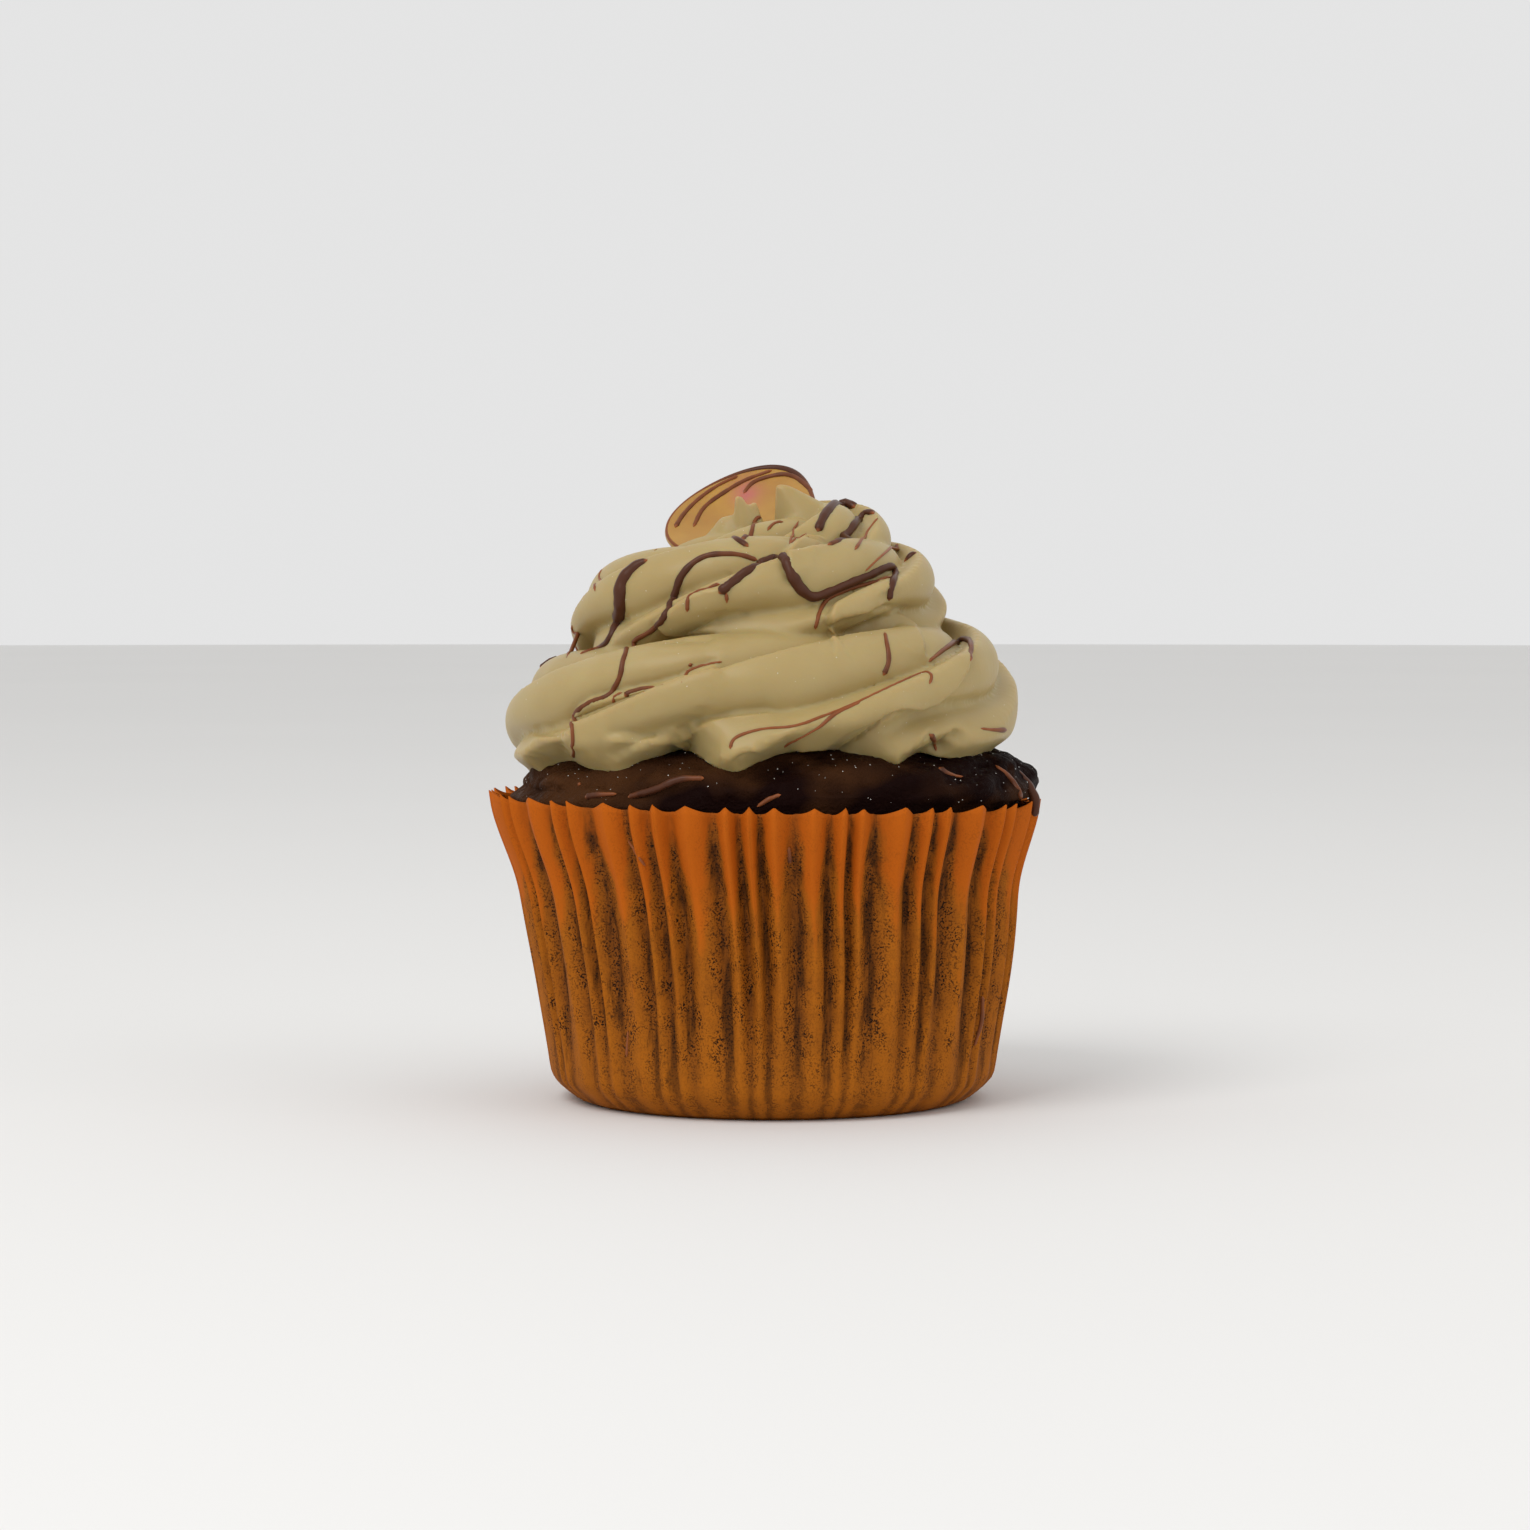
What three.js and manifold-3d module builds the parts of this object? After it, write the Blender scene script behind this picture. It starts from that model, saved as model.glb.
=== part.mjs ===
// Chocolate cupcake in a pleated paper case, topped with a piped buttercream swirl,
// drizzled chocolate and a caramel disc.
// Millimetres, +Z up. Origin: bottom centre of the paper case. The front faces -Y.
// An azimuth is measured in degrees from the front, growing towards +X, so it runs
// anticlockwise seen from above.
import * as THREE from 'three';
import { mergeVertices } from 'three/addons/utils/BufferGeometryUtils.js';
import Module from 'manifold-3d';

const wasm = await Module();
wasm.setup();

// Gap that touching pieces keep.
const GAP = 0.3;
// Points nearer than this are one point.
const WELD = 1e-3;

// Paper case: greaseproof paper pressed into a muffin cup 70 mm wide.
const PLEATS = 54;
const CASE = {
  rimRadius: 35,
  height: 38,
  baseRadius: 24.2,
  cornerHeight: 4,
  bodyRadius: 28,
  flareHeight: 12,
  flare: 3.6,
  wall: 0.45,
  pleatDepth: 1.9,
  rimZigzag: 0.8,
  // The left of the rim stands this much higher than its middle.
  rimTilt: 0.5,
  // The body sits this far to the right of the rim's centre, up to a height.
  lean: 1,
  leanHeight: 14,
};

// Cake: fills the case and domes above its rim.
const CAKE = {
  floor: 0.8,
  shoulderRadius: 32.4,
  shoulderHeight: 39.4,
  domeHeight: 46.2,
  // How far the dome's shoulder hangs over to the right, on a lip above the rim.
  overhang: 1.9,
  neckHeight: 37.9,
  lipHeight: 38.3,
  neckRadius: 32.1,
  crag: 0.35,
  segments: 48,
};

// Buttercream coil: one rope piped anticlockwise from a fixed star nozzle.
// Stations: turns from the back, radius and height of the rope's centre, rope radius.
const COIL = [
  { turn: 0.0, radius: 21.5, height: 48.4, rope: 8.4 },
  { turn: 0.25, radius: 23.4, height: 47.0, rope: 9.2 },
  { turn: 0.5, radius: 22.6, height: 50.0, rope: 9.2 },
  { turn: 0.75, radius: 22.8, height: 51.6, rope: 8.6 },
  { turn: 1.0, radius: 19.4, height: 55.4, rope: 9.0 },
  { turn: 1.25, radius: 15.8, height: 59.6, rope: 8.7 },
  { turn: 1.5, radius: 15.0, height: 62.2, rope: 8.6 },
  { turn: 1.75, radius: 15.0, height: 62.4, rope: 7.8 },
  { turn: 2.0, radius: 11.0, height: 64.2, rope: 7.6 },
  { turn: 2.25, radius: 7.4, height: 63.8, rope: 6.9 },
  { turn: 2.5, radius: 6.6, height: 65.6, rope: 7.0 },
  { turn: 2.75, radius: 9.6, height: 67.9, rope: 7.5 },
  { turn: 3.0, radius: 5.2, height: 69.4, rope: 5.6 },
];
const COIL_RINGS_PER_TURN = 22;
const COIL_RINGS_PER_SECTION = 6;
// The rope's crests. The groove below a crest lies at a share of the way to the next: low on the
// rope, and high, where the crest falls over into a long face.
const STAR = {
  points: 6,
  phase: 43,
  driftPerTurn: -6,
  depth: 0.34,
  lowValley: 0.48,
  highValley: 0.87,
  highFrom: 15,
  highTo: 55,
  bottomLag: 20,
  bottomLagWidth: 60,
  topLead: 8,
};
// The rope starts and ends round, within these shares of a turn.
const ROUND_START = 0.12;
const ROUND_END = 0.18;
const LEAST_TAPER = 0.3;
// Foot of the first turn, pressed out onto the cake: how far, as a share of the rope radius round a
// section angle, and how much further its face leans out for each millimetre above its edge.
const FOOT = { angle: -52, width: 32, spread: 0.42, slope: 1.6 };
// Edge of the foot on the cake: azimuth and distance from the axis. Each lobe swells to a tip and
// ends in a notch.
const FOOT_OUTLINE = [
  [-177, 27], [-160, 29.2], [-153, 29.5], [-149, 27], [-134, 29.2], [-126, 29.5], [-122, 27.5], [-108, 29],
  [-90, 30.2], [-69, 29.8], [-59, 27.2], [-46.5, 29], [-35.5, 29.1], [-29, 26], [-27, 23], [-15.5, 27.2],
  [-7.5, 30.1], [-3.5, 29.3], [1.5, 26.5], [10.5, 26.3], [17, 24.3], [26, 28.1], [32, 30.3], [43.5, 26.8],
  [49.5, 29.5], [67, 28.9], [83, 28], [100, 28.6], [104, 26.6], [120, 29], [127, 29.4], [131, 27],
  [146, 29], [153, 29.4], [157, 27], [172, 29.2], [179, 29.5],
];
const AXIS_CLEARANCE = 0.5;

// What the nozzle leaves on top: the peak, the mound beside it and two small curls.
const HORNS = [
  { foot: [7.8, -0.6, 71], tip: [1.1, -2, 77.6], footRadius: 7.2, tipRadius: 0.7, flatness: 0.62 },
  { foot: [-4.2, -1, 67], tip: [-3.8, -2.4, 73.4], footRadius: 7, tipRadius: 1.6, flatness: 0.8 },
  { foot: [-1.9, -3.2, 70.5], tip: [-3.4, -3.6, 76], footRadius: 2.2, tipRadius: 0.5, flatness: 0.8 },
  { foot: [-1.2, -3, 70.5], tip: [-1.4, -3.4, 75.2], footRadius: 1.9, tipRadius: 0.4, flatness: 0.8 },
];

// Caramel disc that leans in the cream behind the peak.
const DISC = {
  radius: 10,
  thickness: 1.6,
  dish: 1.1,
  // How far its top and bottom lie to the right of its middle.
  egg: 2.6,
  centre: [-3, 3.4, 72.8],
  lean: 35,
  roll: 13.7,
  segments: 36,
};

// Drizzle strands. A waypoint is where the strand crosses the plane y = 0
// as it is seen from VIEWPOINT: [across, height].
const VIEWPOINT = [0, -530, 64.8];
const STRAND_STEP = 4;
const STRANDS = [
  { width: 2.0, points: [[-14.8, 67.8], [-18, 65.2], [-18.2, 61.6], [-21, 57.6]] },
  { width: 0.9, points: [[-1, 67.8], [-9.3, 67.3], [-12, 62], [-15.8, 57.7], [-18.4, 53], [-22.7, 49.3], [-24, 43.4]] },
  { width: 1.4, points: [[-5.8, 63.5], [-2.4, 66.4], [2.3, 68.2], [3.7, 65.2], [6.3, 62.9], [10.7, 64.5], [15.9, 66.8], [15.6, 62.7]] },
  { width: 0.8, points: [[-5.6, 63.6], [-9.6, 63.2], [-9.8, 61.3]] },
  { width: 0.8, points: [[10.7, 64.3], [8, 62.9], [6.3, 59.1]] },
  { width: 0.9, points: [[15.1, 58.7], [15.6, 54.9], [14.9, 53.3]] },
  { width: 0.9, points: [[20.6, 55], [24, 57.3], [26, 57.6], [25.9, 55.1]] },
  { width: 0.8, points: [[-4.4, 44], [-0.5, 46.5], [10.7, 49.5], [20.6, 53.7]] },
  { width: 1.2, points: [[6.6, 71.4], [8, 74.1], [10, 75.1]] },
  { width: 1.0, points: [[7.9, 69.7], [10.4, 70.3], [12, 73.4], [13.7, 73.8]] },
  { width: 1.1, points: [[17.5, 67.6], [19.6, 69], [21.2, 68.7]] },
  { width: 0.8, points: [[-4.9, 70.6], [-2.1, 69.5], [-1, 73.4]] },
];

// Strands round the back: each falls aslant and bends a little.
const BACK_STRANDS = {
  count: 7,
  firstAzimuth: 112,
  lastAzimuth: 252,
  slant: 26,
  bend: 4,
  lowest: 46,
  highest: 69,
  width: 0.9,
};

// Chocolate that ran onto the cake: azimuths and heights of the two ends.
const CAKE_STRANDS = [
  { width: 0.9, from: [-33, 39.9], to: [-14, 41.3] },
  { width: 0.8, from: [-43, 40.2], to: [-35, 40.6] },
  { width: 0.8, from: [47, 41.8], to: [52, 41] },
  { width: 1.1, from: [70, 42], to: [78, 39.6] },
  { width: 0.9, from: [150, 41.8], to: [172, 40.4] },
  { width: 0.9, from: [214, 41], to: [228, 40] },
];

const degrees = (value) => (value * Math.PI) / 180;

// Point at an azimuth, a distance from the axis and a height.
function at(azimuth, radius, height) {
  const angle = degrees(azimuth);
  return new THREE.Vector3(radius * Math.sin(angle), -radius * Math.cos(angle), height);
}

// Smooth step from 0 at low to 1 at high.
function ease(value, low, high) {
  return THREE.MathUtils.smoothstep(value, low, high);
}

// Closed surface over a stack of rings of equal length, closed on a point at both ends.
function skin(rings, start, end) {
  const count = rings[0].length;
  const points = [start, ...rings.flat(), end];
  const last = points.length - 1;
  const index = [];
  for (let k = 0; k < count; k++) {
    const next = (k + 1) % count;
    index.push(0, 1 + next, 1 + k);
    for (let row = 0; row < rings.length - 1; row++) {
      const a = 1 + row * count + k;
      const b = 1 + row * count + next;
      index.push(a, b, a + count, b, b + count, a + count);
    }
    const top = 1 + (rings.length - 1) * count;
    index.push(last, top + k, top + next);
  }
  const geometry = new THREE.BufferGeometry().setFromPoints(points);
  geometry.setIndex(index);
  return faceOutwards(geometry);
}

// Turns every face of a closed surface round where its volume comes out negative.
function faceOutwards(geometry) {
  const position = geometry.getAttribute('position');
  const index = geometry.index.array;
  const [a, b, c] = [new THREE.Vector3(), new THREE.Vector3(), new THREE.Vector3()];
  let volume = 0;
  for (let i = 0; i < index.length; i += 3) {
    a.fromBufferAttribute(position, index[i]);
    b.fromBufferAttribute(position, index[i + 1]);
    c.fromBufferAttribute(position, index[i + 2]);
    volume += a.dot(b.cross(c));
  }
  if (volume < 0) {
    for (let i = 0; i < index.length; i += 3) {
      [index[i + 1], index[i + 2]] = [index[i + 2], index[i + 1]];
    }
  }
  return geometry;
}

// Closed geometry as a solid that can be joined and cut.
function toSolid(geometry) {
  const bare = geometry.clone();
  bare.deleteAttribute('normal');
  bare.deleteAttribute('uv');
  const merged = mergeVertices(bare, WELD);
  return new wasm.Manifold(new wasm.Mesh({
    numProp: 3,
    vertProperties: new Float32Array(merged.getAttribute('position').array),
    triVerts: new Uint32Array(merged.index.array),
  }));
}

// Surface of a solid as a geometry.
function toGeometry(solid) {
  const mesh = solid.getMesh();
  const geometry = new THREE.BufferGeometry();
  geometry.setAttribute('position', new THREE.Float32BufferAttribute(mesh.vertProperties, 3));
  geometry.setIndex(new THREE.Uint32BufferAttribute(mesh.triVerts, 1));
  const welded = mergeVertices(geometry, WELD);
  welded.computeVertexNormals();
  return welded;
}

// Outer surface of a solid as a geometry, without the hollows that joining sealed inside it.
function outerSurface(solid) {
  const shells = toSolid(toGeometry(solid)).decompose();
  return toGeometry(shells.reduce((largest, shell) => (shell.volume() > largest.volume() ? shell : largest)));
}

// Adds a list of geometries to one solid.
function fuse(first, geometries) {
  return geometries.reduce((sum, geometry) => sum.add(toSolid(geometry)), first);
}

// Paper case

// Mean radius of the pleated wall at a height.
function caseRadius(height) {
  const corner = Math.min(height / CASE.cornerHeight, 1);
  const bottom = THREE.MathUtils.lerp(CASE.baseRadius, CASE.bodyRadius, Math.sin(corner * Math.PI / 2));
  const slope = Math.max(height - CASE.cornerHeight, 0) / (CASE.height - CASE.cornerHeight);
  const body = CASE.rimRadius - CASE.bodyRadius - CASE.pleatDepth / 2 - CASE.flare * 0.5;
  const flare = CASE.flare * 0.5 * ease(height, CASE.height - CASE.flareHeight, CASE.height);
  return bottom + body * slope + flare;
}

// Pleats fade out towards the flat bottom.
function pleatHalfDepth(height) {
  return (CASE.pleatDepth / 2) * (0.12 + 0.88 * ease(height, 0.5, CASE.height * 0.7));
}

// How far the wall's centre lies to the right at a height.
function caseShift(height) {
  return CASE.lean * (1 - ease(height, CASE.leanHeight, CASE.height));
}

// Moves a ring to the right.
function shifted(ring, across) {
  ring.forEach((point) => { point.x += across; });
  return ring;
}

// One ring of the case: outer folds and inner folds in turn.
function caseRing(height, inset) {
  const ring = [];
  for (let k = 0; k < PLEATS * 2; k++) {
    const fold = k % 2 === 0 ? 1 : -1;
    const azimuth = (k * 180) / PLEATS;
    const rim = (fold * CASE.rimZigzag) / 2 - CASE.rimTilt * Math.sin(degrees(azimuth));
    const radius = caseRadius(height) + fold * pleatHalfDepth(height) - inset;
    ring.push(at(azimuth, radius, height < CASE.height ? height : height + rim));
  }
  return shifted(ring, caseShift(height));
}

function paperCase() {
  const outer = [0, 1, CASE.cornerHeight, 13, 25, 32, CASE.height];
  const inner = [CASE.height, 32, 25, CASE.cornerHeight, CASE.wall];
  const rings = [
    ...outer.map((height) => caseRing(height, 0)),
    ...inner.map((height) => caseRing(height, height > CASE.wall ? CASE.wall : 2 * CASE.wall)),
  ];
  return skin(rings, new THREE.Vector3(CASE.lean, 0, 0), new THREE.Vector3(CASE.lean, 0, CASE.wall));
}

// Cake

// Height of the cake's dome at a distance from the axis, lifted by an offset.
function domeHeight(radius) {
  const across = Math.min(radius / CAKE.shoulderRadius, 1);
  return CAKE.shoulderHeight + (CAKE.domeHeight - CAKE.shoulderHeight) * Math.pow(1 - across ** 4, 0.55);
}

// How far a ring of the dome lies to the right, at its share of the shoulder's radius.
function domeShift(share) {
  return CAKE.overhang * ease(share, 0.2, 0.9);
}

// Crags of the baked crust.
function crag(azimuth, height) {
  const a = degrees(azimuth);
  return CAKE.crag * (Math.sin(7 * a + height) + 0.7 * Math.sin(13 * a - 2.1 * height) + 0.5 * Math.sin(23 * a));
}

// One ring of the cake, rough where the crust shows, grown by a lift.
function cakeRing(radius, height, rough, lift = 0) {
  const ring = [];
  for (let k = 0; k < CAKE.segments; k++) {
    const azimuth = (k * 360) / CAKE.segments;
    const relief = rough ? crag(azimuth, height) : 0;
    ring.push(at(azimuth, radius + relief + lift, height + relief * 0.4 + lift));
  }
  return ring;
}

function cakeBody() {
  const inside = (height) => caseRadius(height) - pleatHalfDepth(height) - CASE.wall - GAP - 0.1;
  const sides = [CAKE.floor, CASE.cornerHeight, CASE.leanHeight, 22, 31].map((height) =>
    shifted(cakeRing(inside(height) - (height === CAKE.floor ? 1 : 0), height, false), caseShift(height)));
  const neck = cakeRing(CAKE.neckRadius, CAKE.neckHeight, false);
  const lip = cakeRing(CAKE.neckRadius, CAKE.lipHeight, false).map((point) => {
    const side = Math.max(point.x, 0) / CAKE.neckRadius;
    return point.setX(point.x + CAKE.overhang * ease(side, 0.5, 1));
  });
  const domes = [1, 0.95, 0.88, 0.76, 0.55, 0.25].map((share) => {
    const radius = CAKE.shoulderRadius * share;
    return shifted(cakeRing(radius, domeHeight(radius), share > 0.8), domeShift(share));
  });
  const top = new THREE.Vector3(0, 0, domeHeight(0));
  return skin([...sides, neck, lip, ...domes], new THREE.Vector3(CASE.lean, 0, CAKE.floor), top);
}

// The dome lifted by the gap and widened below it, to cut the cream's foot.
function cakeClearance() {
  const lift = GAP * 1.2;
  const rings = [1.25, 1.12, 1, 0.95, 0.88, 0.76, 0.55, 0.25].map((share) => {
    const radius = CAKE.shoulderRadius * share;
    return shifted(cakeRing(radius, domeHeight(radius), share > 0.8, lift), domeShift(share));
  });
  const low = shifted(cakeRing(CAKE.shoulderRadius * 1.25, CAKE.shoulderHeight - 12, false), CAKE.overhang);
  const top = new THREE.Vector3(0, 0, domeHeight(0) + lift);
  return skin([low, ...rings], new THREE.Vector3(0, 0, 20), top);
}

// Buttercream

// Value of one coil measure at a turn, on a smooth curve through the stations.
function coil(measure, turn) {
  const last = COIL.length - 1;
  const place = THREE.MathUtils.clamp(turn / 0.25, 0, last);
  const i = Math.min(Math.floor(place), last - 1);
  const value = (k) => COIL[THREE.MathUtils.clamp(k, 0, last)][measure];
  const [a, b, c, d] = [value(i - 1), value(i), value(i + 1), value(i + 2)];
  const t = place - i;
  return b + 0.5 * t * (c - a + t * (2 * a - 5 * b + 4 * c - d + t * (3 * (b - c) + d - a)));
}

// How far a ridge lags round the section: squashed onto the cake, it stands upright low down.
function ridgeLag(angle) {
  const fromBelow = Math.abs(THREE.MathUtils.euclideanModulo(angle + 270, 360) - 180);
  const lag = STAR.bottomLag * Math.exp(-((fromBelow / STAR.bottomLagWidth) ** 2));
  return angle + lag - STAR.topLead * Math.max(Math.sin(degrees(angle)), 0);
}

// Section angle at which the lag reaches a phase, by bisection.
function sectionAngle(phase) {
  let low = phase - 90;
  let high = phase + 90;
  for (let i = 0; i < 30; i++) {
    const middle = (low + high) / 2;
    if (ridgeLag(middle) < phase) low = middle;
    else high = middle;
  }
  return (low + high) / 2;
}

// Share of the way to the next crest at which the groove below a crest lies.
function valleyShare(crest) {
  const facing = THREE.MathUtils.euclideanModulo(crest + 180, 360) - 180;
  const high = ease(facing, STAR.highFrom, STAR.highTo);
  return THREE.MathUtils.lerp(STAR.lowValley, STAR.highValley, high);
}

// How much the cake has pressed the first turn's foot outwards at a section angle.
function footSpread(turn, angle) {
  const off = THREE.MathUtils.euclideanModulo(angle - FOOT.angle + 180, 360) - 180;
  return FOOT.spread * Math.exp(-((off / FOOT.width) ** 2)) * (1 - ease(turn, 0.85, 1.05));
}

// Distance from the axis at which the foot's edge lies on the cake.
function footEdge(azimuth) {
  const first = FOOT_OUTLINE[0][0];
  const round = first + THREE.MathUtils.euclideanModulo(azimuth - first, 360);
  const outline = [...FOOT_OUTLINE, [first + 360, FOOT_OUTLINE[0][1]]];
  const next = Math.max(outline.findIndex(([place]) => place > round), 1);
  const [[before, low], [after, high]] = [outline[next - 1], outline[next]];
  return THREE.MathUtils.mapLinear(round, before, after, low, high);
}

// How far from the axis the rope may reach at a level: over the foot's edge it leans out.
function widest(azimuth, level) {
  const edge = footEdge(azimuth);
  return edge + FOOT.slope * Math.max(level - domeHeight(edge), 0);
}

// Share of the rope's radius near its round ends.
function taper(turn) {
  const start = Math.min(turn / ROUND_START + 0.5, 1);
  const end = Math.min((COIL[COIL.length - 1].turn - turn) / ROUND_END, 1);
  return Math.max(Math.sqrt((1 - (1 - start) ** 2) * (1 - (1 - end) ** 2)), LEAST_TAPER);
}

// One star section of the rope. Its points follow the crests from ring to ring.
function ropeRing(turn) {
  const azimuth = 360 * (turn - 0.5);
  const radius = coil('radius', turn);
  const height = coil('height', turn);
  const rope = coil('rope', turn);
  const spacing = 360 / STAR.points;
  const ring = [];
  for (let ridge = 0; ridge < STAR.points; ridge++) {
    const crest = azimuth + STAR.phase + STAR.driftPerTurn * turn - ridge * spacing;
    const valley = valleyShare(crest);
    for (const [share, groove] of [[0, 0], [0.6 * valley, 0.22], [valley, 1]]) {
      const angle = sectionAngle(crest - share * spacing);
      const reach = rope * taper(turn) * (1 - STAR.depth * groove + footSpread(turn, angle));
      const level = height + reach * Math.sin(degrees(angle));
      const free = radius + reach * Math.cos(degrees(angle));
      ring.push(at(azimuth, THREE.MathUtils.clamp(free, AXIS_CLEARANCE, widest(azimuth, level)), level));
    }
  }
  return ring;
}

// Turns at which the rope has a ring: on every point of the foot's outline, then evenly.
function ringTurns() {
  const last = COIL[COIL.length - 1].turn;
  const foot = FOOT_OUTLINE.map(([azimuth]) => azimuth / 360 + 0.5);
  const steps = Math.round((last - 1) * COIL_RINGS_PER_TURN);
  const above = Array.from({ length: steps + 1 }, (_, k) => THREE.MathUtils.lerp(1, last, k / steps));
  return [-ROUND_START / 2, -ROUND_START / 4, ...foot, ...above];
}

function ropeSection(turns) {
  const centre = (turn) => at(360 * (turn - 0.5), coil('radius', turn), coil('height', turn));
  return skin(turns.map(ropeRing), centre(turns[0]), centre(turns[turns.length - 1]));
}

// Horn that tapers from a wide foot to a tip, flattened from front to back.
function horn({ foot, tip, footRadius, tipRadius, flatness }) {
  const [from, to] = [new THREE.Vector3(...foot), new THREE.Vector3(...tip)];
  const rings = [0, 0.25, 0.5, 0.75, 0.92, 1].map((t) => {
    const centre = new THREE.Vector3().lerpVectors(from, to, t);
    const taper = tipRadius + (footRadius - tipRadius) * (1 - t);
    const radius = t < 1 ? taper : taper * 0.4;
    return Array.from({ length: 12 }, (_, k) => at(k * 30, radius, 0).multiply(new THREE.Vector3(1, flatness, 1)).add(centre));
  });
  return skin(rings, from, to);
}

// Fill inside the coil, where the turns close up.
function heart() {
  const profile = [[20, 46], [19.5, 52], [15, 58], [12, 62], [8, 66], [3.5, 69.5]];
  const rings = profile.map(([radius, height]) => Array.from({ length: 24 }, (_, k) => at(k * 15, radius, height)));
  return skin(rings, new THREE.Vector3(0, 0, 42), new THREE.Vector3(0, 0, 72));
}

// Caramel disc

// Dished disc, grown all round by an amount, in the place where it leans.
function disc(grown) {
  const thickness = DISC.thickness / 2 + grown;
  const ringAt = (share, side) => Array.from({ length: DISC.segments }, (_, k) => {
    const azimuth = (k * 360) / DISC.segments;
    const point = at(azimuth, (DISC.radius + grown) * share, side * thickness + DISC.dish * (share * share - 0.5));
    point.x += DISC.egg * share * Math.cos(degrees(azimuth)) ** 2;
    return point;
  });
  const rings = [ringAt(0.55, -1), ringAt(0.94, -1), ringAt(1, -0.45), ringAt(1, 0.45), ringAt(0.94, 1), ringAt(0.55, 1)];
  const pole = (side) => new THREE.Vector3(0, 0, side * thickness - DISC.dish * 0.5);
  const geometry = skin(rings, pole(-1), pole(1));
  geometry.rotateX(degrees(DISC.lean));
  geometry.rotateY(degrees(-DISC.roll));
  geometry.translate(...DISC.centre);
  return geometry;
}

// Drizzle

// Follows a surface: returns the first hit of a ray, with the face's normal.
function hitSurface(surface, origin, direction) {
  const ray = new THREE.Raycaster(origin, direction.normalize());
  const [hit] = ray.intersectObject(surface);
  return hit ? { point: hit.point, normal: hit.face.normal.clone() } : null;
}

// Strand seen from the front: waypoints on the plane y = 0, looked at from the viewpoint.
function frontTargets(points) {
  const eye = new THREE.Vector3(...VIEWPOINT);
  const curve = new THREE.CatmullRomCurve3(points.map(([across, height]) => new THREE.Vector3(across, 0, height)));
  const steps = Math.max(3, Math.round(curve.getLength() / STRAND_STEP));
  return curve.getSpacedPoints(steps).map((target) => ({ origin: eye, direction: target.sub(eye) }));
}

// Strand seen from outside at each azimuth, looking level at the axis.
function roundTargets(places) {
  const curve = new THREE.CatmullRomCurve3(places.map(([azimuth, height]) => new THREE.Vector3(azimuth, height, 0)));
  return curve.getPoints((places.length - 1) * 3).map((place) => ({
    origin: at(place.x, 80, place.y),
    direction: at(place.x, -1, 0),
  }));
}

// Flattened round strand laid on a surface along its targets.
function strand(surface, targets, width) {
  const hits = targets.map(({ origin, direction }) => hitSurface(surface, origin, direction)).filter(Boolean);
  const rings = hits.map(({ point, normal }, i) => {
    const before = hits[Math.max(i - 1, 0)].point;
    const after = hits[Math.min(i + 1, hits.length - 1)].point;
    const along = after.clone().sub(before).normalize();
    const across = new THREE.Vector3().crossVectors(normal, along).normalize();
    const up = new THREE.Vector3().crossVectors(along, across).normalize();
    return Array.from({ length: 6 }, (_, k) => {
      const angle = degrees(k * 60);
      return point.clone()
        .addScaledVector(across, (Math.cos(angle) * width) / 2)
        .addScaledVector(up, Math.sin(angle) * width * 0.4);
    });
  });
  return skin(rings, hits[0].point, hits[hits.length - 1].point);
}

// Waypoints of one strand round the back.
function backPlaces(number) {
  const { count, firstAzimuth, lastAzimuth, slant, bend, lowest, highest } = BACK_STRANDS;
  const middle = THREE.MathUtils.lerp(firstAzimuth, lastAzimuth, number / (count - 1));
  const [top, bottom] = [highest - ((number * 5) % 3) * 4, lowest + ((number * 3) % 4) * 4];
  return [0, 0.3, 0.55, 0.8, 1].map((fall) => [
    middle + slant * Math.sin(2.4 * number + 0.6) * (fall - 0.5)
      + bend * Math.sin(3.9 * number + 1) * Math.sin((4 + (number % 3)) * fall),
    THREE.MathUtils.lerp(top, bottom, fall),
  ]);
}

function creamStrands(surface) {
  const front = STRANDS.map(({ width, points }) => strand(surface, frontTargets(points), width));
  const back = Array.from({ length: BACK_STRANDS.count }, (_, number) =>
    strand(surface, roundTargets(backPlaces(number)), BACK_STRANDS.width));
  return [...front, ...back];
}

// Strand on the dome of the cake, straight between two azimuths and heights.
function cakeStrand(surface, { width, from, to }) {
  const middle = [(from[0] + to[0]) / 2, (from[1] + to[1]) / 2];
  return strand(surface, roundTargets([from, middle, to]), width);
}

// Pieces

function finish(color, roughness) {
  return new THREE.MeshStandardMaterial({ color, roughness, metalness: 0, flatShading: true });
}

function piece(name, geometry, material) {
  const mesh = new THREE.Mesh(geometry, material);
  mesh.name = name;
  return mesh;
}

function buttercreamSolid() {
  const turns = ringTurns();
  const sections = [];
  for (let ring = 0; ring < turns.length - 1; ring += COIL_RINGS_PER_SECTION) {
    sections.push(ropeSection(turns.slice(ring, ring + COIL_RINGS_PER_SECTION + 1)));
  }
  const swirl = fuse(toSolid(heart()), [...sections, ...HORNS.map(horn)]);
  const seated = swirl.subtract(toSolid(cakeClearance())).subtract(toSolid(disc(GAP)));
  const surface = new THREE.Mesh(outerSurface(seated));
  return fuse(seated, creamStrands(surface));
}

function cakeSolid() {
  const body = cakeBody();
  const surface = new THREE.Mesh(body);
  return fuse(toSolid(body), CAKE_STRANDS.map((place) => cakeStrand(surface, place)));
}

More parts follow.
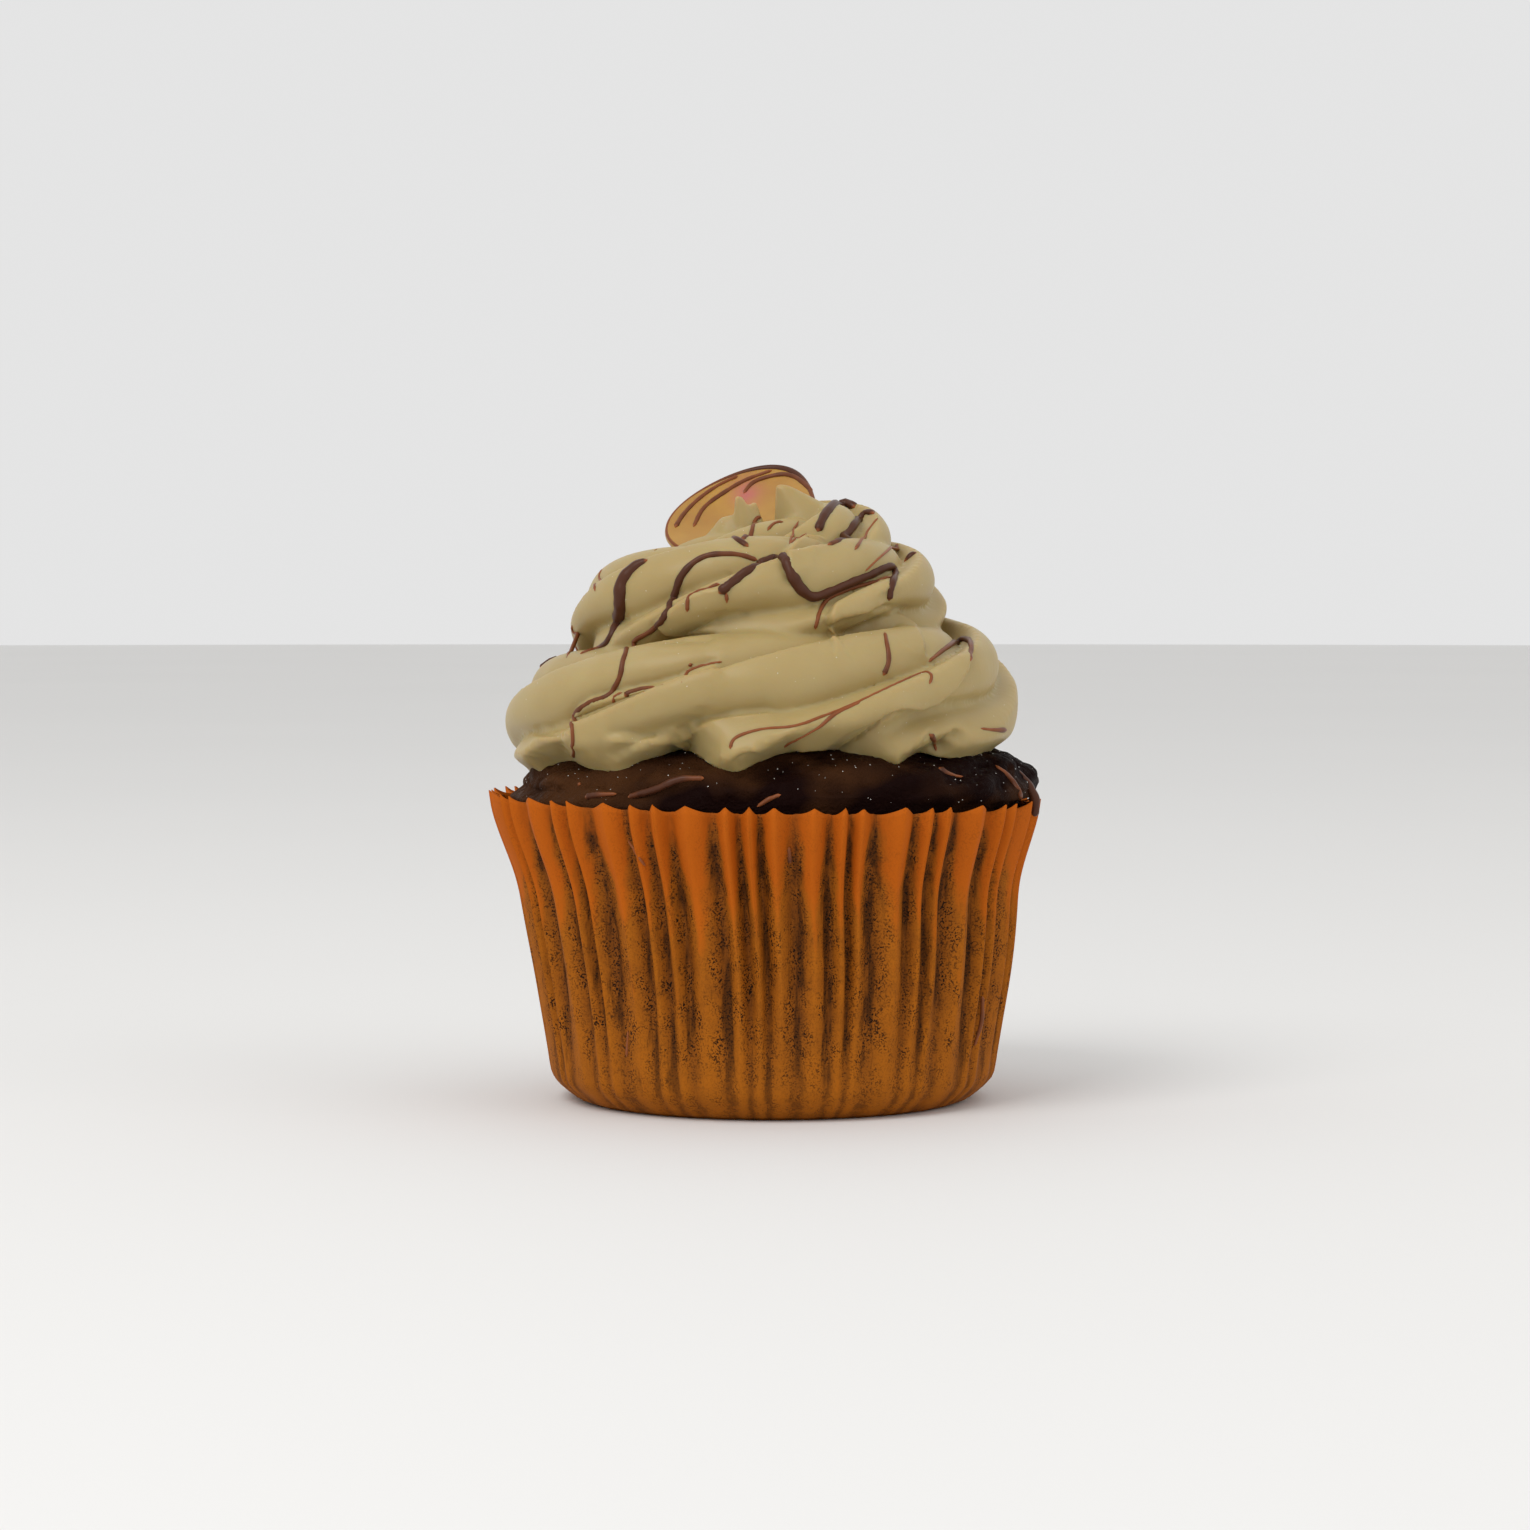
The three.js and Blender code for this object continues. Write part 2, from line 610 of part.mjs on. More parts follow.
const cupcake = new THREE.Group();
cupcake.add(
  piece('paper_case', paperCase(), finish(0xb8611b, 0.7)),
  piece('cake', outerSurface(cakeSolid()), finish(0x24130f, 0.55)),
  piece('buttercream', outerSurface(buttercreamSolid()), finish(0xd9c795, 0.5)),
  piece('caramel_disc', disc(0), finish(0xb07a3c, 0.35)),
);

export default cupcake;
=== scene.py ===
"""Chocolate cupcake: paper case, domed cake, piped buttercream, chocolate strands and caramel disc."""

import logging
import math
from dataclasses import dataclass, field
from enum import Enum
from functools import partial
from typing import Any, Sequence

import bpy
import numpy as np
from mathutils import Matrix, Vector, noise
from mathutils.bvhtree import BVHTree


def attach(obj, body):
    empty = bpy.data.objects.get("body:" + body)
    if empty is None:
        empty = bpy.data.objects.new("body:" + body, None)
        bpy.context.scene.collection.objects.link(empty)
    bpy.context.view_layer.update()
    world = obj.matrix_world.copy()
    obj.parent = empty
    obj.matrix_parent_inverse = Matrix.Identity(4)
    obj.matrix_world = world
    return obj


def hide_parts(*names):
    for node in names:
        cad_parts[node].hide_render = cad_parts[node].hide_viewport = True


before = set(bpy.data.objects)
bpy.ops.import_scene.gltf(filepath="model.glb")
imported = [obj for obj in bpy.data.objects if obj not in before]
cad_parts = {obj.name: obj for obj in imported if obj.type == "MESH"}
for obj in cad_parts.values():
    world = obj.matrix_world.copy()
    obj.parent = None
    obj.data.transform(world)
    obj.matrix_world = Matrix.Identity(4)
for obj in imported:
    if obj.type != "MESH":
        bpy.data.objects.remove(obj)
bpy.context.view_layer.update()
LOG = logging.getLogger("cupcake")

MM = 0.001
BODY = "root"
# Where the photograph was taken from, in millimetres, and its picture size in pixels.
VIEWPOINT = np.array([0.0, -530.0, 64.8])
PICTURE = 1530
FOCAL_PIXELS = 4203
HORIZON_ROW = 584
# Kinds of node that come back often, and the two colour inputs of a mix.
MATH = "ShaderNodeMath"
NOISE = "ShaderNodeTexNoise"
RANGE = "ShaderNodeMapRange"
MIX = "ShaderNodeMix"
BUMP = "ShaderNodeBump"
SURFACE = "ShaderNodeBsdfPrincipled"
OUTPUT = "ShaderNodeOutputMaterial"
COLOUR_A = 6
COLOUR_B = 7


# Small helpers


def srgb(code: str, alpha: float = 1.0) -> tuple[float, float, float, float]:
    """Turn an sRGB hex code into linear colour.

    Args:
        code: Six hex digits.
        alpha: Opacity.

    Returns:
        Linear red, green, blue and alpha.
    """
    parts = [int(code[i:i + 2], 16) / 255 for i in (0, 2, 4)]
    linear = [c / 12.92 if c <= 0.04045 else ((c + 0.055) / 1.055) ** 2.4 for c in parts]
    return (*linear, alpha)


def per_mm(size: float) -> float:
    """Texture scale that gives a pattern this many millimetres wide."""
    return 1 / (size * MM)


def add(tree: bpy.types.NodeTree, kind: str, inputs: dict | Sequence = (), **settings: Any) -> bpy.types.Node:
    """Add a node with its settings and links.

    Args:
        tree: Node tree that receives it.
        kind: Blender's name for the node.
        inputs: Socket name or number to what it takes: a value, the socket that feeds it, or a node whose
            first output in use does. Without names, they go to the sockets in order.
        settings: Node properties.

    Returns:
        The new node.
    """
    node = tree.nodes.new(kind)
    for name, value in settings.items():
        setattr(node, name, value)
    for key, value in inputs.items() if isinstance(inputs, dict) else enumerate(inputs):
        if isinstance(value, bpy.types.Node):
            value = next(output for output in value.outputs if output.enabled)
        if isinstance(value, bpy.types.NodeSocket):
            tree.links.new(value, node.inputs[key])
        else:
            node.inputs[key].default_value = value
    return node


def at(azimuth: np.ndarray, radius: np.ndarray, height: np.ndarray) -> np.ndarray:
    """Points at azimuths in degrees from the front, distances from the axis and heights."""
    angle = np.radians(azimuth)
    return np.stack(np.broadcast_arrays(radius * np.sin(angle), -radius * np.cos(angle), height), axis=-1)


def ease(value: np.ndarray, low: float, high: float) -> np.ndarray:
    """Smooth step from 0 at low to 1 at high."""
    t = np.clip((value - low) / (high - low), 0, 1)
    return t * t * (3 - 2 * t)


def mesh_object(name: str, points: np.ndarray, faces: Sequence[Sequence[int]]) -> bpy.types.Object:
    """Make a smooth-shaded object from points in millimetres.

    Args:
        name: The object's name.
        points: Positions in millimetres.
        faces: Point numbers of each face, wound outwards.

    Returns:
        The object, linked to the scene.
    """
    mesh = bpy.data.meshes.new(name)
    mesh.from_pydata((np.asarray(points) * MM).tolist(), [], [list(face) for face in faces])
    mesh.update()
    mesh.polygons.foreach_set("use_smooth", [True] * len(mesh.polygons))
    built = bpy.data.objects.new(name, mesh)
    bpy.context.scene.collection.objects.link(built)
    return built


def ring_faces(rows: int, columns: int, first: int = 0) -> list[list[int]]:
    """Quads of a tube of rings, wound outwards where rings run anticlockwise and climb.

    Args:
        rows: Number of rings.
        columns: Points in a ring.
        first: Number of the first point.

    Returns:
        Point numbers of each face.
    """
    faces = []
    for row in range(rows - 1):
        for k in range(columns):
            following = (k + 1) % columns
            low, high = first + row * columns, first + (row + 1) * columns
            faces.append([low + k, low + following, high + following, high + k])
    return faces


def closed_tube(rings: np.ndarray) -> tuple[np.ndarray, list[list[int]]]:
    """Close a stack of rings on the centre of its first and last ring.

    Args:
        rings: Points as rows, columns, xyz.

    Returns:
        Points and faces.
    """
    rows, columns = rings.shape[:2]
    points = np.concatenate([rings.reshape(-1, 3), rings[0].mean(0)[None], rings[-1].mean(0)[None]])
    faces = ring_faces(rows, columns)
    low, high = rows * columns, rows * columns + 1
    for k in range(columns):
        following = (k + 1) % columns
        faces.append([low, following, k])
        faces.append([high, (rows - 1) * columns + k, (rows - 1) * columns + following])
    return points, faces


def join(parts: list[tuple[np.ndarray, list[list[int]]]]) -> tuple[np.ndarray, list[list[int]]]:
    """Join point and face lists into one.

    Args:
        parts: Points and faces of each.

    Returns:
        All points and faces.
    """
    points, faces, count = [], [], 0
    for part_points, part_faces in parts:
        points.append(part_points)
        faces.extend([[i + count for i in face] for face in part_faces])
        count += len(part_points)
    return np.concatenate(points), faces


def settle(source: bpy.types.Object, name: str) -> bpy.types.Object:
    """Turn an object with live modifiers into a plain mesh object and remove the source.

    Args:
        source: The object with modifiers, which is removed.
        name: Name of the new object.

    Returns:
        A plain mesh object.
    """
    graph = bpy.context.evaluated_depsgraph_get()
    graph.update()
    mesh = bpy.data.meshes.new_from_object(source.evaluated_get(graph))
    mesh.name = name
    built = bpy.data.objects.new(name, mesh)
    bpy.context.scene.collection.objects.link(built)
    bpy.data.objects.remove(source)
    return built


def set_inputs(modifier: bpy.types.Modifier, values: dict[str, Any]) -> None:
    """Set a Geometry Nodes modifier's inputs by their sockets' identifiers.

    Args:
        modifier: The modifier.
        values: Value of each input by name.
    """
    for item in modifier.node_group.interface.items_tree:
        if item.item_type == "SOCKET" and item.in_out == "INPUT" and item.name in values:
            modifier[item.identifier] = values[item.name]


def coordinates(piece: bpy.types.Object) -> np.ndarray:
    """Vertex positions of a mesh object in millimetres.

    Args:
        piece: A mesh object.

    Returns:
        Positions, one row a vertex.
    """
    flat = np.empty(len(piece.data.vertices) * 3, dtype=np.float32)
    piece.data.vertices.foreach_get("co", flat)
    return flat.reshape(-1, 3).astype(float) / MM


def place(piece: bpy.types.Object, points: np.ndarray) -> None:
    """Write vertex positions given in millimetres."""
    piece.data.vertices.foreach_set("co", (points * MM).astype(np.float32).ravel())
    piece.data.update()


def hand_over(piece: bpy.types.Object, material: bpy.types.Material,
              node: str | None = None) -> None:
    """Dress a piece and tell the frame what it rides on and stands for.

    Args:
        piece: The finished mesh object.
        material: Its finish.
        node: The solid that it replaces, if it does.
    """
    piece.data.materials.clear()
    piece.data.materials.append(material)
    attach(piece, BODY)
    if node:
        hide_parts(node)
    LOG.info("%s: %d faces", piece.name, len(piece.data.polygons))


# Finishes


def blank_material(name: str) -> tuple[bpy.types.Material, bpy.types.NodeTree, bpy.types.NodeSocket]:
    """Start a material.

    Args:
        name: The real material's name.

    Returns:
        The material, its node tree and the Object coordinates that its patterns read.
    """
    material = bpy.data.materials.new(name)
    material.use_nodes = True
    tree = material.node_tree
    tree.nodes.clear()
    return material, tree, add(tree, "ShaderNodeTexCoord").outputs["Object"]


@dataclass(frozen=True)
class WhippedButtercream:
    """Butter and sugar, whipped."""

    # It is full of air, so light sinks in and comes out softly: satin, with warm shadows and air pits.
    light: str = "B09D6D"
    deep: str = "A28A55"
    patch: float = 9.0
    pit: float = 0.45
    pit_depth: float = 0.035
    roughness: float = 0.42
    bleed: float = 1.6

    def material(self) -> bpy.types.Material:
        """Build the material.

        Returns:
            The cream's finish.
        """
        made, tree, spot = blank_material("buttercream_whipped")
        patches = add(tree, NOISE, {"Vector": spot, "Scale": per_mm(self.patch), "Detail": 3.0})
        tint = add(tree, MIX, {"Factor": patches, COLOUR_A: srgb(self.light), COLOUR_B: srgb(self.deep)},
                   data_type="RGBA")
        pits = add(tree, NOISE, {"Vector": spot, "Scale": per_mm(self.pit), "Detail": 2.0, "Roughness": 0.6})
        bump = add(tree, BUMP, {"Height": pits, "Strength": 0.6, "Distance": self.pit_depth * MM})
        cream = add(tree, SURFACE, {
            "Base Color": tint, "Roughness": self.roughness, "IOR": 1.46, "Normal": bump,
            "Specular IOR Level": 0.35, "Subsurface Weight": 0.55, "Subsurface Radius": (1.0, 0.5, 0.2),
            "Subsurface Scale": self.bleed * MM,
        })
        add(tree, OUTPUT, {"Surface": cream})
        return made


@dataclass(frozen=True)
class SetChocolate:
    """Milk chocolate that set as it fell."""

    # Dense brown with a soft gloss, and paler where the strand is thin enough to glow.
    thick: str = "4C2A1A"
    thin: str = "92522C"
    thin_width: float = 0.25
    thick_width: float = 0.9
    roughness: float = 0.36
    gloss: float = 0.2
    ripple: float = 1.1
    ripple_depth: float = 0.06

    def material(self) -> bpy.types.Material:
        """Build the material.

        Returns:
            The chocolate's finish, which reads the strand's width from the attribute "girth".
        """
        made, tree, spot = blank_material("milk_chocolate_set")
        girth = add(tree, "ShaderNodeAttribute", attribute_name="girth").outputs["Fac"]
        share = add(tree, RANGE, (girth, self.thin_width, self.thick_width))
        tint = add(tree, MIX, {"Factor": share, COLOUR_A: srgb(self.thin), COLOUR_B: srgb(self.thick)},
                   data_type="RGBA")
        ripples = add(tree, NOISE, {"Vector": spot, "Scale": per_mm(self.ripple)})
        bump = add(tree, BUMP, {"Height": ripples, "Strength": 0.35, "Distance": self.ripple_depth * MM})
        chocolate = add(tree, SURFACE, {"Base Color": tint, "Roughness": self.roughness, "IOR": 1.48,
                                        "Normal": bump, "Specular IOR Level": self.gloss})
        add(tree, OUTPUT, {"Surface": chocolate})
        return made


@dataclass(frozen=True)
class MoistSponge:
    """Dark chocolate sponge with a baked crust."""

    # Almost black in its open crumb, browner in dry patches and, as painted light, on the left where the lamp
    # falls; dull apart from moist spots.
    dark: str = "160806"
    light: str = "462A16"
    crumb: float = 1.3
    grain: float = 0.35
    patch: float = 11.0
    crumb_depth: float = 0.3
    # Painted light on the left, the lamp's side: where it starts and ends across, and how much browner.
    painted_light_from: float = -12.0
    painted_light_to: float = -28.0
    painted_light_share: float = 0.25

    def material(self) -> bpy.types.Material:
        """Build the material.

        Returns:
            The sponge's finish.
        """
        made, tree, spot = blank_material("chocolate_sponge_moist")
        crumbs = add(tree, NOISE, {"Vector": spot, "Scale": per_mm(self.crumb), "Detail": 5.0,
                                   "Roughness": 0.65})
        grains = add(tree, NOISE, {"Vector": spot, "Scale": per_mm(self.grain), "Detail": 3.0})
        patches = add(tree, NOISE, {"Vector": spot, "Scale": per_mm(self.patch)})
        # Painted light: the crust is painted lighter and browner on the left, the lamp's side.
        across = add(tree, "ShaderNodeSeparateXYZ", (spot,)).outputs["X"]
        left = add(tree, RANGE, (across, self.painted_light_from * MM, self.painted_light_to * MM, 0.0, self.painted_light_share))
        patches_and_painted_light = add(tree, MATH, (patches, left), operation="ADD")
        dry_with_painted_light = add(tree, RANGE, (patches_and_painted_light, 0.5, 0.75))
        tint = add(tree, MIX, {"Factor": dry_with_painted_light, COLOUR_A: srgb(self.dark), COLOUR_B: srgb(self.light)},
                   data_type="RGBA")
        height = add(tree, MATH, (crumbs, grains), operation="ADD")
        bump = add(tree, BUMP, {"Height": height, "Strength": 0.9, "Distance": self.crumb_depth * MM})
        dull = add(tree, RANGE, (crumbs, 0.35, 0.65, 0.4, 0.75))
        sponge = add(tree, SURFACE, {"Base Color": tint, "Roughness": dull, "IOR": 1.28, "Normal": bump,
                                     "Specular IOR Level": 0.06})
        add(tree, OUTPUT, {"Surface": sponge})
        return made


@dataclass(frozen=True)
class GreaseproofPaper:
    """Dyed greaseproof paper that was baked with the cake in it."""

    # Bright and dry on the rim and the outer folds, with painted shade deep in the folds, browned and
    # speckled where it touches the cake.
    bright: str = "B65A10"
    dull: str = "AC5E12"
    # Painted shade for the depth of the folds.
    shaded: str = "94460C"
    greasy: str = "A45E14"
    soaked: str = "6E3E14"
    stain: str = "1C1009"
    stain_top: float = 37.5
    stain_full: float = 20.0
    # Each pattern's name, size and detail, and how far it is drawn out along the pleats.
    patterns: tuple[tuple[str, float, float, float], ...] = (
        ("edge", 2.6, 5.0, 2.5), ("cloud", 3.0, 3.0, 1.0), ("speck", 0.24, 2.0, 1.0),
        ("blotch", 1.7, 4.0, 1.8), ("run", 1.3, 4.0, 10.0), ("fibre", 0.5, 3.0, 1.0),
    )

    def material(self) -> bpy.types.Material:
        """Build the material.

        Returns:
            The paper's finish, which reads how deep in a fold it is from the attribute "valley".
        """
        made, tree, spot = blank_material("greaseproof_paper_orange")
        put = partial(add, tree)
        height = put("ShaderNodeSeparateXYZ", (spot,)).outputs["Z"]
        valley = put("ShaderNodeAttribute", attribute_name="valley").outputs["Fac"]
        pattern = {}
        for name, size, detail, stretch in self.patterns:
            drawn = put("ShaderNodeMapping", {"Vector": spot, "Scale": (1.0, 1.0, 1 / stretch)})
            pattern[name] = put(NOISE, {"Vector": drawn, "Scale": per_mm(size), "Detail": detail,
                                        "Roughness": 0.6})
        # The grease reaches up each valley in a wedge: the nearer the rim, the deeper in the fold.
        limit = put(RANGE, (height, self.stain_full * MM, self.stain_top * MM, -0.25, 1.0))
        torn = put(MATH, (pattern["edge"], 0.5), operation="SUBTRACT")
        ragged = put(MATH, (torn, 1.3, valley), operation="MULTIPLY_ADD")
        inside = put(MATH, (ragged, limit), operation="SUBTRACT")
        soaked = put(RANGE, (inside, -0.16, 0.24))
        # Dry paper is a little duller low down, and painted shade darkens it in the folds.
        low_down = put(RANGE, (height, 6 * MM, 30 * MM, 1.0, 0.0))
        faded = put(MIX, {"Factor": low_down, COLOUR_A: srgb(self.bright), COLOUR_B: srgb(self.dull)},
                    data_type="RGBA")
        deep = put(MATH, (valley, 1.6), operation="POWER")
        shade = put(MATH, (deep, 0.6), operation="MULTIPLY")
        dry_with_painted_light = put(MIX, {"Factor": shade, COLOUR_A: faded, COLOUR_B: srgb(self.shaded)}, data_type="RGBA")
        # Greasy paper is cloudy, darker towards the rim, and darker deep in the folds as painted shade.
        clouds = put(MATH, (put(RANGE, (pattern["cloud"], 0.42, 0.66)), 0.4), operation="MULTIPLY")
        cloudy_with_painted_shade = put(MATH, (deep, clouds), operation="ADD")
        browned_with_painted_shade = put(MATH, (cloudy_with_painted_shade, put(RANGE, (height, 2 * MM, 16 * MM, 0.4, 0.8))), operation="MULTIPLY")
        wet = put(MIX, {"Factor": browned_with_painted_shade, COLOUR_A: srgb(self.greasy), COLOUR_B: srgb(self.soaked)},
                  data_type="RGBA")
        base = put(MIX, {"Factor": put(MATH, (soaked, 0.9), operation="MULTIPLY"), COLOUR_A: dry_with_painted_light,
                         COLOUR_B: wet}, data_type="RGBA")
        # Fine specks everywhere in the grease, crowded in blotches; black runs down some of the folds.
        specks = put(RANGE, (pattern["speck"], 0.5, 0.58))
        crowded = put(MATH, (valley, 0.14, pattern["blotch"]), operation="MULTIPLY_ADD")
        crowding = put(MATH, (put(RANGE, (crowded, 0.48, 0.68)), 0.8, 0.2), operation="MULTIPLY_ADD")
        peppered = put(MATH, (specks, crowding), operation="MULTIPLY")
        running = put(MATH, (valley, 0.24, pattern["run"]), operation="MULTIPLY_ADD")
        grainy = put(MATH, (specks, 0.3, 0.62), operation="MULTIPLY_ADD")
        runs = put(MATH, (put(RANGE, (running, 0.68, 0.8)), grainy), operation="MULTIPLY")
        dark = put(MATH, (peppered, runs), operation="MAXIMUM")
        least = put(MATH, (soaked, 0.2), operation="MAXIMUM")
        fade = put(MATH, (least, put(RANGE, (height, 1 * MM, 10 * MM, 0.5, 1.0))), operation="MULTIPLY")
        stained = put(MATH, (dark, fade), operation="MULTIPLY")
        tint = put(MIX, {"Factor": stained, COLOUR_A: base, COLOUR_B: srgb(self.stain)}, data_type="RGBA")
        bump = put(BUMP, {"Height": pattern["fibre"], "Strength": 0.4, "Distance": 0.05 * MM})
        paper = put(SURFACE, {"Base Color": tint, "Roughness": 0.7, "IOR": 1.45, "Normal": bump,
                              "Specular IOR Level": 0.08})
        put(OUTPUT, {"Surface": paper})
        return made


@dataclass(frozen=True)
class AmberCaramel:
    """Caramel that set in a mould."""

    # Glossy amber that light goes into, clouded, and redder in one spot.
    amber: str = "BE9238"
    dark: str = "966226"
    blush: str = "B4605A"
    cloud: float = 5.0

    def material(self) -> bpy.types.Material:
        """Build the material.

        Returns:
            The caramel's finish, which reads how red it is from the attribute "blush".
        """
        made, tree, spot = blank_material("caramel_set")
        clouds = add(tree, NOISE, {"Vector": spot, "Scale": per_mm(self.cloud), "Detail": 3.0})
        tint = add(tree, MIX, {"Factor": clouds, COLOUR_A: srgb(self.amber), COLOUR_B: srgb(self.dark)},
                   data_type="RGBA")
        redness = add(tree, "ShaderNodeAttribute", attribute_name="blush").outputs["Fac"]
        blushed = add(tree, MIX, {"Factor": redness, COLOUR_A: tint, COLOUR_B: srgb(self.blush)},
                      data_type="RGBA")
        caramel = add(tree, SURFACE, {
            "Base Color": blushed, "Roughness": 0.3, "IOR": 1.5, "Subsurface Weight": 0.3,
            "Subsurface Radius": (1.0, 0.4, 0.1), "Subsurface Scale": 1.0 * MM,
        })
        add(tree, OUTPUT, {"Surface": caramel})
        return made


@dataclass(frozen=True)
class Plain:
    """Finish of sugar crystals and of the studio floor."""

    # One tone, with a faint cloud in its colour.
    name: str
    light: str
    deep: str
    roughness: float
    cloud: float

    def material(self) -> bpy.types.Material:
        """Build the material.

        Returns:
            The plain finish.
        """
        made, tree, spot = blank_material(self.name)
        clouds = add(tree, NOISE, {"Vector": spot, "Scale": per_mm(self.cloud)})
        tint = add(tree, MIX, {"Factor": clouds, COLOUR_A: srgb(self.light), COLOUR_B: srgb(self.deep)},
                   data_type="RGBA")
        surface = add(tree, SURFACE, {"Base Color": tint, "Roughness": self.roughness})
        add(tree, OUTPUT, {"Surface": surface})
        return made


# Sub-assemblies


@dataclass
class PaperCase:
    """Pleated paper cup, pressed into a muffin tin."""

    pleats: int = 54
    rim_radius: float = 35.0
    height: float = 38.0
    base_radius: float = 24.2
    corner_height: float = 4.0
    body_radius: float = 28.0
    flare: float = 3.6
    flare_height: float = 12.0
    pleat_depth: float = 1.9
    rim_zigzag: float = 1.0
    rim_tilt: float = 0.5
    lean: float = 1.0
    lean_height: float = 14.0
    thickness: float = 0.16
    columns_per_pleat: int = 13
    rows: int = 60
    bottom_share: float = 0.14
    # Across one fold, from valley to crest.
    fold_shape: tuple[tuple[float, float], ...] = (
        (0.0, 0.0), (0.15, 0.04), (0.5, 0.45), (0.86, 0.86), (1.0, 1.0))
    # How deep each fold is, and where its crest lies, as shares.
    depth_range: tuple[float, float] = (0.7, 1.08)
    crest_range: tuple[float, float] = (0.36, 0.6)
    waves: tuple[tuple[float, float, float], ...] = ((3.0, 0.0, 0.3), (17.0, 1.3, 0.24))
    seed: int = 4

    def radius(self, height: np.ndarray) -> np.ndarray:
        """Mean radius of the wall at heights.

        Args:
            height: Heights.

        Returns:
            Radii: a round corner, a sloping wall and a flared rim.
        """
        corner = np.clip(height / self.corner_height, 0, 1)
        bottom = self.base_radius + (self.body_radius - self.base_radius) * np.sin(corner * math.pi / 2)
        slope = np.maximum(height - self.corner_height, 0) / (self.height - self.corner_height)
        body = self.rim_radius - self.body_radius - self.pleat_depth / 2 - self.flare * 0.5
        flare = self.flare * 0.5 * ease(height, self.height - self.flare_height, self.height)
        return bottom + body * slope + flare

    def half_depth(self, height: np.ndarray) -> np.ndarray:
        """Half the pleats' depth at heights: they fade out towards the flat bottom."""
        return self.pleat_depth / 2 * (0.12 + 0.88 * ease(height, 0.5, self.height * 0.6))

    def shift(self, height: np.ndarray) -> np.ndarray:
        """How far the wall's centre lies to the right at heights: the body sits off the rim's centre."""
        return self.lean * (1 - ease(height, self.lean_height, self.height))

    def tree(self) -> bpy.types.NodeTree:
        """Geometry Nodes tree that folds a flat grid into the pleated cup.

        Returns:
            The tree, with the case's sizes as named inputs.
        """
        tree = bpy.data.node_groups.new("pleated_case", "GeometryNodeTree")
        face = tree.interface
        face.new_socket("Geometry", in_out="INPUT", socket_type="NodeSocketGeometry")
        for name, kind in (("Pleats", "Int"), ("Columns", "Int"), ("Rows", "Int"), ("Rim Radius", "Float"),
                           ("Height", "Float"), ("Pleat Depth", "Float"), ("Rim Zigzag", "Float"),
                           ("Rim Tilt", "Float"), ("Lean", "Float"), ("Seed", "Int")):
            face.new_socket(name, in_out="INPUT", socket_type=f"NodeSocket{kind}")
        face.new_socket("Paper", in_out="INPUT", socket_type="NodeSocketMaterial")
        face.new_socket("Geometry", in_out="OUTPUT", socket_type="NodeSocketGeometry")
        given = add(tree, "NodeGroupInput").outputs
        put = partial(add, tree)
        grid = put("GeometryNodeMeshGrid", {"Size X": 1.0, "Size Y": 1.0, "Vertices X": given["Columns"],
                                            "Vertices Y": given["Rows"]})
        spot = put("ShaderNodeSeparateXYZ", (put("GeometryNodeInputPosition"),)).outputs
        around = put(MATH, (spot["X"], 0.5), operation="ADD")
        up = put(MATH, (spot["Y"], 0.5), operation="ADD")
        angle = put(MATH, (around, 2 * math.pi), operation="MULTIPLY")
        sine = put(MATH, (angle,), operation="SINE")
        cosine = put(MATH, (angle,), operation="COSINE")
        # Uneven pleat widths: the count round the case is warped by waves, each a count, a start and a size.
        counted = put(MATH, (around, given["Pleats"]), operation="MULTIPLY")
        for count, start, size in self.waves:
            phase = put(MATH, (angle, count, start), operation="MULTIPLY_ADD")
            wave = put(MATH, (phase,), operation="SINE")
            counted = put(MATH, (wave, size, counted), operation="MULTIPLY_ADD")
        within = put(MATH, (counted,), operation="FRACT")
        whole = put(MATH, (counted,), operation="FLOOR")
        number = put(MATH, (whole, given["Pleats"]), operation="FLOORED_MODULO")
        chance, crest = (put("FunctionNodeRandomValue", {
            2: least, 3: most, "ID": number, "Seed": given["Seed"]}, data_type="FLOAT")
            for least, most in (self.depth_range, self.crest_range))
        rising = put(MATH, (within, crest), operation="DIVIDE")
        left = put(MATH, (1.0, within), operation="SUBTRACT")
        falling = put(MATH, (left, put(MATH, (1.0, crest), operation="SUBTRACT")), operation="DIVIDE")
        fold = self.curve(tree, put(MATH, (rising, falling), operation="MINIMUM"), self.fold_shape)
        # The wall's profile, and the fold's swing across it.
        swell = put(MATH, (self.curve(tree, up, self.profile("depth")), chance), operation="MULTIPLY")
        swing = put(MATH, (put(MATH, (fold, 0.5), operation="SUBTRACT"), swell), operation="MULTIPLY")
        reach = put(MATH, (self.curve(tree, up, self.profile("radius")), given["Rim Radius"]),
                    operation="MULTIPLY")
        radius = put(MATH, (swing, given["Pleat Depth"], reach), operation="MULTIPLY_ADD")
        lean = put(MATH, (self.curve(tree, up, self.profile("shift")), given["Lean"]), operation="MULTIPLY")
